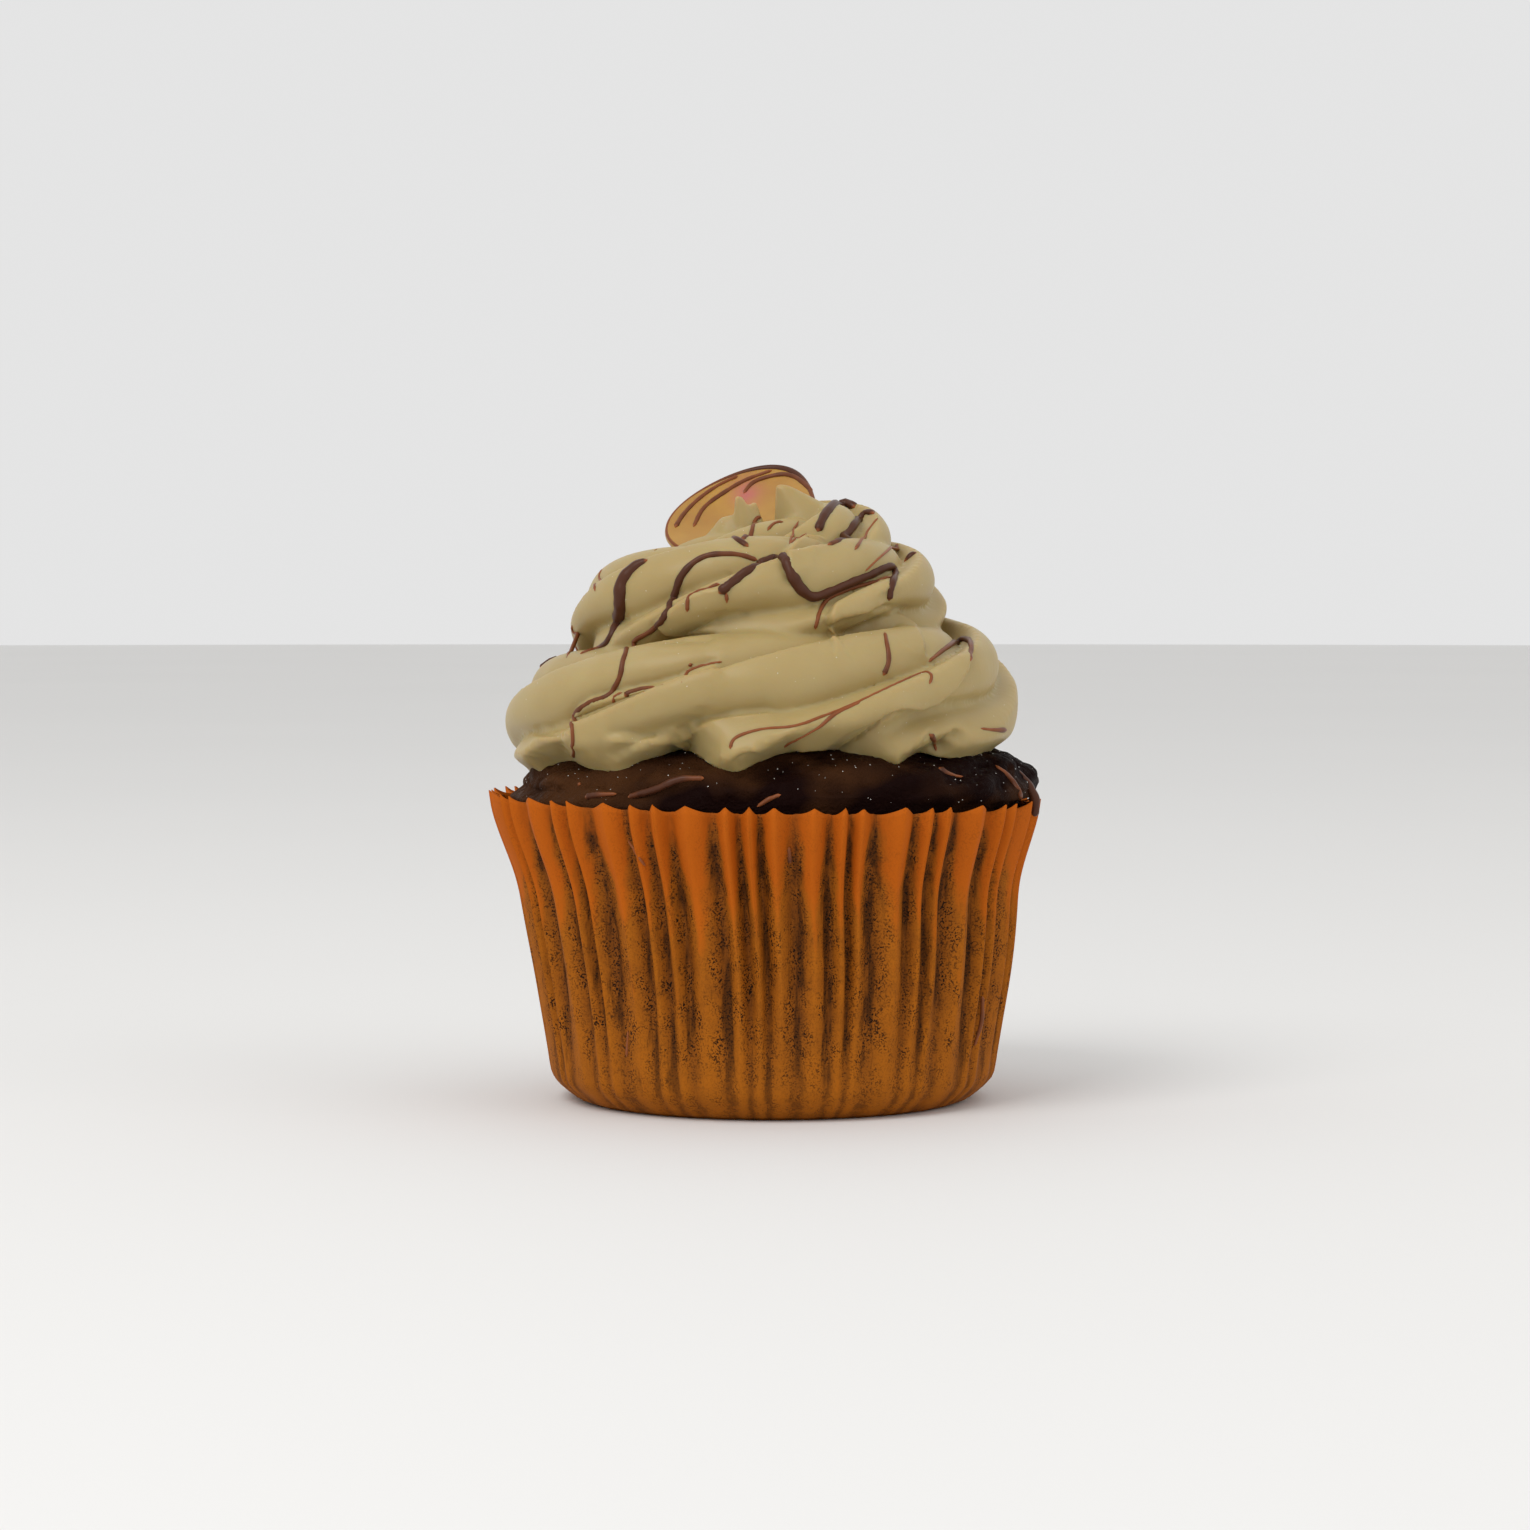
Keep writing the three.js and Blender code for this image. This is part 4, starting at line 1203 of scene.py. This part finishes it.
STRANDS = (
    Strand((0.9, 2.0, 1.9, 1.7, 1.2, 0.7, 0.5), (
        (-14.8, 67.8), (-16.3, 67.1), (-18.0, 65.2), (-18.3, 62.8), (-18.4, 60.9), (-19.7, 57.7),
        (-21.3, 56.7), (-23.3, 56.0))),
    Strand((0.6, 0.8, 1.0, 0.9, 0.6, 0.7, 0.7, 0.7, 0.6, 0.5, 0.6), (
        (-1.0, 67.8), (-3.2, 68.5), (-5.7, 68.6), (-7.6, 68.3), (-9.3, 67.3), (-10.7, 65.6),
        (-11.2, 64.0), (-12.0, 62.0), (-13.5, 59.6), (-15.1, 58.4), (-16.4, 57.7), (-17.8, 55.5),
        (-18.3, 53.1), (-19.7, 50.8), (-21.4, 50.2), (-22.8, 49.5), (-24.0, 48.4), (-24.3, 47.0),
        (-24.1, 42.9))),
    Strand((1.3, 1.1, 1.3, 1.5, 1.3, 1.2, 1.1, 0.9, 1.0), (
        (-5.8, 63.6), (-4.4, 64.9), (-2.4, 66.4), (0.0, 67.6), (2.3, 68.2), (2.9, 66.8), (3.9, 64.9),
        (5.7, 63.2), (6.9, 63.3), (10.7, 64.9), (13.2, 65.9), (15.9, 67.1), (16.5, 66.4), (16.0, 64.7),
        (15.6, 62.7))),
    Strand((0.6, 0.45, 0.5, 0.6), ((-5.7, 64.8), (-7.9, 64.0), (-9.6, 63.2), (-9.8, 61.3))),
    Strand((0.5, 0.45), ((-4.9, 63.8), (-4.8, 62.4))),
    Strand((0.5, 0.6, 0.5), (
        (15.9, 65.7), (13.2, 64.9), (10.7, 64.2), (7.9, 62.9), (6.9, 61.3), (6.3, 59.1))),
    Strand((0.5, 0.55, 0.7, 0.8), ((15.1, 58.7), (15.3, 57.5), (15.6, 55.8), (15.5, 54.6), (14.9, 53.3))),
    Strand((0.4, 0.7, 0.9, 0.7, 0.6), (
        (20.6, 55.0), (22.1, 56.2), (23.3, 57.1), (24.3, 57.7), (25.3, 58.0), (26.0, 57.4), (25.9, 55.1))),
    Strand((0.5, 0.35, 0.4, 0.35, 0.3, 0.4, 0.4), (
        (-4.4, 44.0), (-3.8, 45.4), (-0.5, 46.5), (3.7, 46.9), (6.9, 48.0), (10.7, 49.5), (15.4, 51.7),
        (19.5, 53.5), (20.6, 53.7), (21.1, 53.1), (20.7, 52.2))),
    Strand((0.45, 0.3, 0.5, 0.3), (
        (2.4, 44.2), (3.0, 44.7), (4.2, 45.3), (6.9, 46.8), (8.8, 48.4), (12.0, 49.9))),
    Strand((0.5, 0.45, 0.3), ((-10.5, 52.4), (-10.1, 53.6), (-7.9, 54.5), (-5.4, 55.0))),
    Strand((0.8, 0.7), ((-9.5, 54.8), (-9.3, 54.4))),
    Strand((0.5, 0.4, 0.35), ((-19.2, 49.8), (-18.9, 50.8), (-18.0, 51.1))),
    Strand((0.85, 0.5, 0.3), ((-17.7, 50.6), (-17.3, 51.1), (-15.4, 51.6), (-12.9, 52.1))),
    Strand((0.8, 0.6, 0.3), ((20.7, 45.9), (21.4, 45.1), (21.6, 43.7))),
    Strand((0.3, 0.5, 0.8), ((27.2, 46.6), (29.0, 46.4), (30.5, 46.4))),
    Strand((1.1, 1.3, 1.4, 1.2), (
        (6.6, 71.4), (7.2, 72.9), (7.9, 74.1), (9.2, 75.0), (10.5, 75.1), (11.3, 74.4))),
    Strand((0.7, 1.1, 1.2, 0.9), (
        (7.9, 69.7), (10.0, 70.6), (11.0, 72.0), (11.9, 73.2), (12.9, 74.0), (13.7, 73.6))),
    Strand((0.45, 0.35, 0.3), ((11.3, 69.1), (12.0, 70.1), (13.0, 71.6), (14.2, 73.1))),
    Strand((0.25, 0.35, 0.5), ((12.6, 66.4), (14.5, 68.2), (16.4, 69.7), (17.7, 70.0))),
    Strand((0.6, 1.1, 0.8), ((17.5, 67.6), (19.5, 69.0), (21.2, 68.5))),
    Strand((0.4, 0.7, 0.9), ((-4.9, 70.6), (-3.7, 70.5), (-2.1, 69.5))),
    Strand((0.8, 0.6, 0.6, 0.5), ((-3.0, 70.2), (-1.9, 71.1), (-1.3, 72.2), (-1.0, 73.4), (0.0, 72.7))),
    Strand((0.4, 0.5), ((0.3, 71.5), (1.1, 72.5), (2.3, 72.6))),
    Strand((0.3, 0.35), ((3.0, 69.8), (3.7, 71.4), (4.2, 72.7))),
    Strand((0.3, 0.3, 0.5), ((3.0, 69.8), (4.7, 71.0), (5.5, 70.7))),
    Strand((0.5, 0.4, 0.35), ((-21.4, 63.9), (-21.1, 65.3), (-20.4, 66.8), (-19.4, 67.8))),
    Strand((0.5, 0.6, 0.4), ((-24.3, 59.6), (-24.2, 58.2), (-24.5, 56.7), (-25.0, 55.5))),
    Strand((0.5, 0.7, 0.5), ((-13.9, 69.0), (-13.0, 69.5), (-12.2, 69.7))),
)
CAKE_STRANDS = (
    Strand((0.8, 1.0, 0.9, 0.6), ((-17.3, 37.9), (-14.0, 38.8), (-10.7, 40.2), (-7.7, 40.3))),
    Strand((1.1, 0.7, 0.4), ((-22.7, 37.9), (-21.4, 38.2), (-18.7, 38.3))),
    Strand((0.4, 0.6, 0.5), ((-1.0, 36.7), (0.9, 37.9), (2.0, 38.2))),
    Strand((1.2, 0.4, 0.3), ((21.9, 41.6), (23.3, 40.8), (25.0, 40.5))),
    Strand((0.4, 0.8, 0.6), ((29.1, 41.9), (31.3, 40.0), (32.4, 37.7))),
    Strand((0.7, 0.6), ((-23.6, 39.6), (-23.3, 39.5))),
)
PAPER_STRANDS = (
    Strand((0.5, 0.8), ((3.0, 31.6), (3.2, 29.5))),
    Strand((0.3, 0.4, 0.3), ((-17.3, 32.5), (-16.3, 30.8), (-15.1, 29.2))),
    Strand((0.5, 0.6, 0.4), ((27.5, 12.7), (27.4, 9.5), (26.5, 6.4))),
    Strand((0.3, 0.4), ((-17.3, 8.3), (-17.5, 5.0))),
)
DISC_STRANDS = (
    Strand((0.7, 0.6, 0.6, 0.5, 0.5), (
        (-11.3, 71.9), (-10.4, 73.4), (-8.6, 75.3), (-6.1, 77.1), (-3.4, 78.4))),
    Strand((0.5, 0.6, 0.7, 0.6, 0.5), (
        (-9.0, 72.0), (-7.7, 74.4), (-5.0, 76.4), (-2.4, 77.9), (0.9, 79.1))),
    Strand((0.5, 0.7, 0.7, 0.7, 0.6), ((-2.7, 76.2), (-1.3, 77.7), (2.3, 78.6), (4.4, 77.9), (6.4, 75.9))),
)


@dataclass
class Drizzle:
    """Chocolate strands that fell over the swirl and the cake."""

    lift: float = 0.05
    sink: float = 0.3
    step: float = 0.3
    sides: int = 10
    back_count: int = 7
    back_first: float = 112.0
    back_last: float = 252.0
    back_slant: float = 26.0
    back_bend: float = 4.0
    back_lowest: float = 46.0
    back_highest: float = 69.0
    back_width: float = 0.9
    # Azimuth, distance from the axis and height of the run over the rim.
    drip_spots: tuple[tuple[float, float, float], ...] = (
        (74.0, 31.9, 41.9), (76.0, 33.3, 40.4), (77.0, 33.9, 39.3), (78.0, 34.3, 38.1), (78.6, 34.3, 36.8),
        (78.8, 34.1, 35.8))

    @staticmethod
    def through(points: np.ndarray, count: int) -> np.ndarray:
        """Evenly placed points on a smooth curve through waypoints.

        Args:
            points: Waypoints.
            count: How many points to place.

        Returns:
            The points.
        """
        padded = np.concatenate([2 * points[:1] - points[1:2], points, 2 * points[-1:] - points[-2:-1]])
        dense = []
        for a, b, c, d in zip(padded, padded[1:], padded[2:], padded[3:]):
            t = np.linspace(0, 1, 24, endpoint=False)[:, None]
            dense.append(b + 0.5 * t * (c - a + t * (2 * a - 5 * b + 4 * c - d + t * (3 * (b - c) + d - a))))
        curve = np.concatenate([*dense, points[-1:]])
        length = np.concatenate([[0], np.cumsum(np.linalg.norm(np.diff(curve, axis=0), axis=1))])
        spots = np.linspace(0, length[-1], count)
        return np.stack([np.interp(spots, length, curve[:, k]) for k in range(curve.shape[1])], axis=1)

    def lay(self, surface: BVHTree, rays: Sequence[tuple[np.ndarray, np.ndarray]],
            widths: tuple[float, ...]) -> tuple[np.ndarray, np.ndarray]:
        """Lay a strand where rays meet a surface, smoothed and settled onto it.

        Args:
            surface: Tree of the surface, in millimetres.
            rays: Origins and directions.
            widths: The strand's widths from start to end.

        Returns:
            The strand's path and its radius along it. A thick strand sinks in a little.
        """
        hits = [surface.ray_cast(Vector(origin), Vector(direction).normalized())[0]
                for origin, direction in rays]
        points = np.array([hit for hit in hits if hit is not None])
        for _ in range(4):
            points[1:-1] = (points[:-2] + 2 * points[1:-1] + points[2:]) / 4
        radius = self.radii(points, widths)
        settled = []
        for point, thick in zip(points, radius):
            near, normal, _, _ = surface.find_nearest(Vector(point))
            settled.append(near + normal * (self.lift - self.sink * thick))
        return np.array(settled), radius

    def from_front(self, surface: BVHTree, strand: Strand) -> tuple[np.ndarray, np.ndarray]:
        """Lay a strand that is given as seen from the viewpoint.

        Args:
            surface: Tree of the surface.
            strand: The strand.

        Returns:
            Its path and radii.
        """
        flat = np.array([(across, 0.0, height) for across, height in strand.points])
        length = np.linalg.norm(np.diff(flat, axis=0), axis=1).sum()
        targets = self.through(flat, max(4, int(length / self.step)))
        return self.lay(surface, [(VIEWPOINT, target - VIEWPOINT) for target in targets], strand.widths)

    def round_back(self, surface: BVHTree, number: int) -> tuple[np.ndarray, np.ndarray]:
        """Lay one strand behind: it falls aslant, bends a little and ends in a drop.

        Args:
            surface: Tree of the swirl.
            number: Which of the strands behind.

        Returns:
            Its path and radii.
        """
        middle = self.back_first + (self.back_last - self.back_first) * number / (self.back_count - 1)
        fall = np.array([0, 0.3, 0.55, 0.8, 1])
        slant = self.back_slant * math.sin(2.4 * number + 0.6)
        bend = self.back_bend * math.sin(3.9 * number + 1)
        azimuth = middle + slant * (fall - 0.5) + bend * np.sin((4 + number % 3) * fall)
        top = self.back_highest - number * 5 % 3 * 4
        bottom = self.back_lowest + number * 3 % 4 * 4
        places = self.through(np.stack([azimuth, top + (bottom - top) * fall], axis=1), 90)
        rays = [(at(a, np.array(80.0), np.array(z)), at(a, np.array(-1.0), np.array(0.0))) for a, z in places]
        return self.lay(surface, rays, (0.6, self.back_width, 0.5, 0.7, 0.5, 0.6, 1.1))

    def drip(self) -> tuple[np.ndarray, np.ndarray]:
        """Run of chocolate from the cake over the rim.

        Returns:
            Its path and radii.
        """
        path = self.through(at(*np.array(self.drip_spots).T), 40)
        return path, self.radii(path, (0.8, 1.0, 1.2, 1.3, 1.3))

    def paths(self, cream: bpy.types.Object, cake: bpy.types.Object, case: bpy.types.Object,
              disc: bpy.types.Object) -> list[tuple[np.ndarray, np.ndarray]]:
        """Every strand's path and radii.

        Args:
            cream: The swirl.
            cake: The cake.
            case: The paper case.
            disc: The disc.

        Returns:
            A path and radii for each strand.
        """
        on_cream, on_cake, on_paper, on_disc = (BVHTree.FromPolygons(
            [Vector(p) for p in coordinates(piece)], [list(f.vertices) for f in piece.data.polygons])
            for piece in (cream, cake, case, disc))
        laid = [self.from_front(surface, strand) for surface, strands in (
            (on_cream, STRANDS), (on_cake, CAKE_STRANDS), (on_paper, PAPER_STRANDS), (on_disc, DISC_STRANDS))
            for strand in strands]
        laid += [self.round_back(on_cream, number) for number in range(self.back_count)]
        return laid + [self.drip()]

    @staticmethod
    def radii(path: np.ndarray, widths: tuple[float, ...]) -> np.ndarray:
        """Radius along a path, with round ends.

        Args:
            path: The path.
            widths: Widths from start to end.

        Returns:
            Radii.
        """
        length = np.concatenate([[0], np.cumsum(np.linalg.norm(np.diff(path, axis=0), axis=1))])
        share = length / length[-1]
        base = np.interp(share, np.linspace(0, 1, len(widths)), widths) / 2
        wobble = 1 + 0.1 * np.sin(length * 2.3 + path[0, 0]) * np.sin(length * 0.9)
        from_end = np.minimum(length, length[-1] - length)
        rounding = np.sqrt(np.clip(1 - (1 - np.minimum(from_end / base, 1)) ** 2, 0.02, 1))
        return base * wobble * rounding

    def tree(self) -> bpy.types.NodeTree:
        """Geometry Nodes tree that turns strand curves into solid strands.

        Returns:
            The tree, with its sides and its finish as named inputs.
        """
        tree = bpy.data.node_groups.new("chocolate_strands", "GeometryNodeTree")
        face = tree.interface
        face.new_socket("Geometry", in_out="INPUT", socket_type="NodeSocketGeometry")
        face.new_socket("Sides", in_out="INPUT", socket_type="NodeSocketInt")
        face.new_socket("Chocolate", in_out="INPUT", socket_type="NodeSocketMaterial")
        face.new_socket("Geometry", in_out="OUTPUT", socket_type="NodeSocketGeometry")
        given = add(tree, "NodeGroupInput").outputs
        put = partial(add, tree)
        girth = put("GeometryNodeInputRadius")
        width = put(MATH, (girth, 2 / MM), operation="MULTIPLY")
        known = put("GeometryNodeStoreNamedAttribute", {"Geometry": given["Geometry"], "Name": "girth",
                                                        "Value": width}, data_type="FLOAT", domain="POINT")
        circle = put("GeometryNodeCurvePrimitiveCircle", {"Resolution": given["Sides"], "Radius": 1.0})
        swept = put("GeometryNodeCurveToMesh", {"Curve": known, "Profile Curve": circle, "Scale": girth,
                                                "Fill Caps": True})
        smooth = put("GeometryNodeSetShadeSmooth", {"Geometry": swept, "Shade Smooth": True})
        realized = put("GeometryNodeRealizeInstances", {"Geometry": smooth})
        dressed = put("GeometryNodeSetMaterial", {"Geometry": realized, "Material": given["Chocolate"]})
        put("NodeGroupOutput", {"Geometry": dressed})
        return tree

    def build(self, paths: list[tuple[np.ndarray, np.ndarray]], name: str,
              chocolate: bpy.types.Material) -> bpy.types.Object:
        """Sweep every strand along its path.

        Args:
            paths: Path and radii of each strand.
            name: The piece's name.
            chocolate: Its finish.

        Returns:
            All strands as one piece.
        """
        curve = bpy.data.curves.new(name, "CURVE")
        curve.dimensions = "3D"
        for path, radius in paths:
            spline = curve.splines.new("POLY")
            spline.points.add(len(path) - 1)
            spline.points.foreach_set("co", np.c_[path * MM, np.ones(len(path))].ravel())
            spline.points.foreach_set("radius", radius * MM)
        host = bpy.data.objects.new("strand_paths", curve)
        bpy.context.scene.collection.objects.link(host)
        modifier = host.modifiers.new("strands", "NODES")
        modifier.node_group = self.tree()
        set_inputs(modifier, {"Sides": self.sides, "Chocolate": chocolate})
        return settle(host, name)


@dataclass
class CaramelDisc:
    """Thin dished disc of set caramel that leans in the cream behind the peak."""

    radius: float = 9.8
    thickness: float = 1.3
    dish: float = 1.1
    egg: float = 2.6
    centre: tuple[float, float, float] = (-3.0, 3.4, 72.7)
    lean: float = 35.0
    roll: float = 13.7
    blush_at: tuple[float, float] = (-2.4, 76.3)
    blush_size: float = 1.7
    columns: int = 120

    def frame_of(self, points: np.ndarray) -> np.ndarray:
        """Put points of the level disc where it leans.

        Args:
            points: Points of the level disc.

        Returns:
            The points in place.
        """
        lean, roll = math.radians(self.lean), math.radians(-self.roll)
        leant = np.array(Matrix.Rotation(lean, 3, "X"))
        rolled = np.array(Matrix.Rotation(roll, 3, "Y"))
        return points @ leant.T @ rolled.T + np.array(self.centre)

    def level(self, share: np.ndarray, side: float, azimuth: np.ndarray) -> np.ndarray:
        """Points of the level disc at shares of its radius, on one face (side -1 to 1).

        Args:
            share: Shares of the radius.
            side: From -1 on the lower face to 1 on the upper.
            azimuth: Azimuths in degrees.

        Returns:
            The points.
        """
        height = side * self.thickness / 2 + self.dish * (share * share - 0.5)
        blunt = self.egg * share * np.cos(np.radians(azimuth)) ** 2
        return at(azimuth, self.radius * share, height) + np.stack([blunt, 0 * blunt, 0 * blunt], axis=-1)

    def blush(self, piece: bpy.types.Object) -> None:
        """Mark where the caramel is redder.

        Args:
            piece: The disc, which gets the attribute.
        """
        points = coordinates(piece)
        away = np.hypot(points[:, 0] - self.blush_at[0], points[:, 2] - self.blush_at[1])
        mark = piece.data.attributes.new("blush", "FLOAT", "POINT")
        mark.data.foreach_set("value", np.exp(-((away / self.blush_size) ** 2)).astype(np.float32))

    def rim(self) -> tuple[np.ndarray, np.ndarray]:
        """Chocolate that the disc's edge was dipped in: its path and radii.

        Returns:
            Its path and radii.
        """
        azimuth = np.linspace(0, 358, 180)
        path = self.frame_of(self.level(np.full(180, 0.965), 0.6, azimuth))
        return path, 0.24 + 0.26 * np.exp(-(((azimuth - 150) / 50) ** 2))

    def build(self) -> bpy.types.Object:
        """Build the disc with a rounded edge.

        Returns:
            The disc.
        """
        azimuth = np.arange(self.columns) * 360 / self.columns
        rim = np.linspace(-math.pi / 2, math.pi / 2, 13)
        edge = 1 - self.thickness / 2 / self.radius
        shares = [0.15, 0.3, 0.5, 0.7, 0.85, *(edge + (1 - edge) * np.cos(rim)), 0.85, 0.7, 0.5, 0.3, 0.15]
        sides = [-1.0] * 5 + [math.sin(t) for t in rim] + [1.0] * 5
        rings = [self.frame_of(self.level(np.full(self.columns, share), side, azimuth))
                 for share, side in zip(shares, sides)]
        topper = mesh_object("caramel_topper", *closed_tube(np.array(rings)))
        self.blush(topper)
        return topper


@dataclass
class Sprinkling:
    """Crystals or crumbs scattered over a surface."""

    name: str
    size: float
    per_cm2: float
    seed: int
    lowest: float

    def tree(self) -> bpy.types.NodeTree:
        """Geometry Nodes tree that scatters small crystals over a surface.

        Returns:
            The tree, with the crystals' sizes as named inputs.
        """
        tree = bpy.data.node_groups.new(self.name, "GeometryNodeTree")
        face = tree.interface
        face.new_socket("Geometry", in_out="INPUT", socket_type="NodeSocketGeometry")
        for name, kind in (("Size", "Float"), ("Density", "Float"), ("Seed", "Int"), ("Lowest", "Float"),
                           ("Finish", "Material")):
            face.new_socket(name, in_out="INPUT", socket_type=f"NodeSocket{kind}")
        face.new_socket("Geometry", in_out="OUTPUT", socket_type="NodeSocketGeometry")
        given = add(tree, "NodeGroupInput").outputs
        put = partial(add, tree)
        height = put("ShaderNodeSeparateXYZ", (put("GeometryNodeInputPosition"),)).outputs["Z"]
        high = put("FunctionNodeCompare", {"A": height, "B": given["Lowest"]}, operation="GREATER_THAN")
        scattered = put("GeometryNodeDistributePointsOnFaces", {
            "Mesh": given["Geometry"], "Selection": high, "Density": given["Density"], "Seed": given["Seed"]})
        crystal = put("GeometryNodeMeshIcoSphere", {"Radius": given["Size"], "Subdivisions": 1})
        turn = put("FunctionNodeRandomValue", {1: (6.3, 6.3, 6.3), "Seed": given["Seed"]},
                   data_type="FLOAT_VECTOR")
        scale = put("FunctionNodeRandomValue", {2: 0.45, 3: 1.3, "Seed": given["Seed"]}, data_type="FLOAT")
        placed = put("GeometryNodeInstanceOnPoints", {"Points": scattered, "Instance": crystal,
                                                      "Rotation": turn, "Scale": scale})
        realized = put("GeometryNodeRealizeInstances", {"Geometry": placed})
        dressed = put("GeometryNodeSetMaterial", {"Geometry": realized, "Material": given["Finish"]})
        put("NodeGroupOutput", {"Geometry": dressed})
        return tree

    def build(self, surface: bpy.types.Object, finish: bpy.types.Material) -> bpy.types.Object:
        """Scatter over a copy of a surface.

        Args:
            surface: The piece below.
            finish: The crystals' finish.

        Returns:
            All crystals as one piece.
        """
        host = bpy.data.objects.new("sprinkled", surface.data.copy())
        bpy.context.scene.collection.objects.link(host)
        modifier = host.modifiers.new("scatter", "NODES")
        modifier.node_group = self.tree()
        set_inputs(modifier, {"Size": self.size / 2 * MM, "Density": self.per_cm2 * 1e4, "Seed": self.seed,
                              "Lowest": self.lowest * MM, "Finish": finish})
        return settle(host, self.name)


# Studio


@dataclass
class Studio:
    """Pale floor, soft light and the photograph's camera."""

    floor_radius: float = 4.0
    key_power: float = 6.0
    fill_power: float = 1.2
    sky: float = 0.78

    def camera(self) -> None:
        """Stand the camera where the photograph was taken from."""
        data = bpy.data.cameras.new("camera")
        data.sensor_fit = "HORIZONTAL"
        data.sensor_width = 36.0
        data.lens = FOCAL_PIXELS * data.sensor_width / PICTURE
        data.clip_start = 0.02
        data.clip_end = 50.0
        camera = bpy.data.objects.new("camera", data)
        camera.location = Vector(VIEWPOINT * MM)
        pitch = math.atan((PICTURE / 2 - HORIZON_ROW) / FOCAL_PIXELS)
        camera.rotation_euler = (math.pi / 2 - pitch, 0, 0)
        bpy.context.scene.collection.objects.link(camera)
        bpy.context.scene.camera = camera

    def floor(self) -> None:
        """Lay the floor."""
        azimuth = np.linspace(0, 360, 96, endpoint=False)
        points = at(azimuth, np.full(96, self.floor_radius / MM), -0.02)
        ground = mesh_object("floor", points, [list(range(96))])
        ground.data.materials.append(Plain("studio_floor_matt", "E6E5E3", "E3E2E0", 0.8, 300.0).material())

    def softbox(self, name: str, spot: tuple[float, float, float], size: float, power: float) -> None:
        """Hang a square soft light that faces the cupcake.

        Args:
            name: The light's name.
            spot: Where it hangs, in metres.
            size: Its side in metres.
            power: Its power in watts.
        """
        data = bpy.data.lights.new(name, "AREA")
        data.shape = "SQUARE"
        data.size = size
        data.energy = power
        lamp = bpy.data.objects.new(name, data)
        lamp.location = spot
        aim = Vector((0, 0, 0.04)) - Vector(spot)
        lamp.rotation_euler = aim.to_track_quat("-Z", "Y").to_euler()
        bpy.context.scene.collection.objects.link(lamp)

    def build(self) -> None:
        """Set up the whole studio."""
        self.camera()
        self.floor()
        self.softbox("key", (-0.5, -0.7, 0.9), 0.6, self.key_power)
        self.softbox("fill", (0.8, -0.5, 0.5), 0.7, self.fill_power)
        world = bpy.data.worlds.new("studio")
        world.use_nodes = True
        background = world.node_tree.nodes["Background"]
        background.inputs[0].default_value = srgb("FFFFFF")
        background.inputs[1].default_value = self.sky
        bpy.context.scene.world = world
        bpy.context.scene.view_settings.view_transform = "Standard"


def main() -> None:
    """Build the cupcake piece by piece, in order."""
    logging.basicConfig(level=logging.INFO, format="%(name)s: %(message)s")
    Studio().build()
    case = PaperCase()
    cake = Cake(case)
    cream = Buttercream(cake)
    drizzle = Drizzle()
    paper = GreaseproofPaper().material()
    chocolate = SetChocolate().material()
    case_piece = case.build(paper)
    cake_piece = cake.build()
    cream_piece = cream.build()
    disc = CaramelDisc()
    disc_piece = disc.build()
    paths = drizzle.paths(cream_piece, cake_piece, case_piece, disc_piece) + [disc.rim()]
    strands = drizzle.build(paths, "drizzled_chocolate", chocolate)
    crystal = Plain("sugar_crystal_clear", "F4F2EC", "E8E6E0", 0.15, 0.5).material()
    cake_sugar = Sprinkling("sugar_on_cake", 0.13, 14.0, 7, 38.5).build(cake_piece, crystal)
    cream_sugar = Sprinkling("sugar_on_cream", 0.09, 5.0, 11, 42.0).build(cream_piece, crystal)
    hand_over(case_piece, paper, "paper_case")
    hand_over(cake_piece, MoistSponge().material(), "cake")
    hand_over(cream_piece, WhippedButtercream().material(), "buttercream")
    hand_over(strands, chocolate)
    hand_over(disc_piece, AmberCaramel().material(), "caramel_disc")
    hand_over(cake_sugar, crystal)
    hand_over(cream_sugar, crystal)


if __name__ == "__main__":
    main()
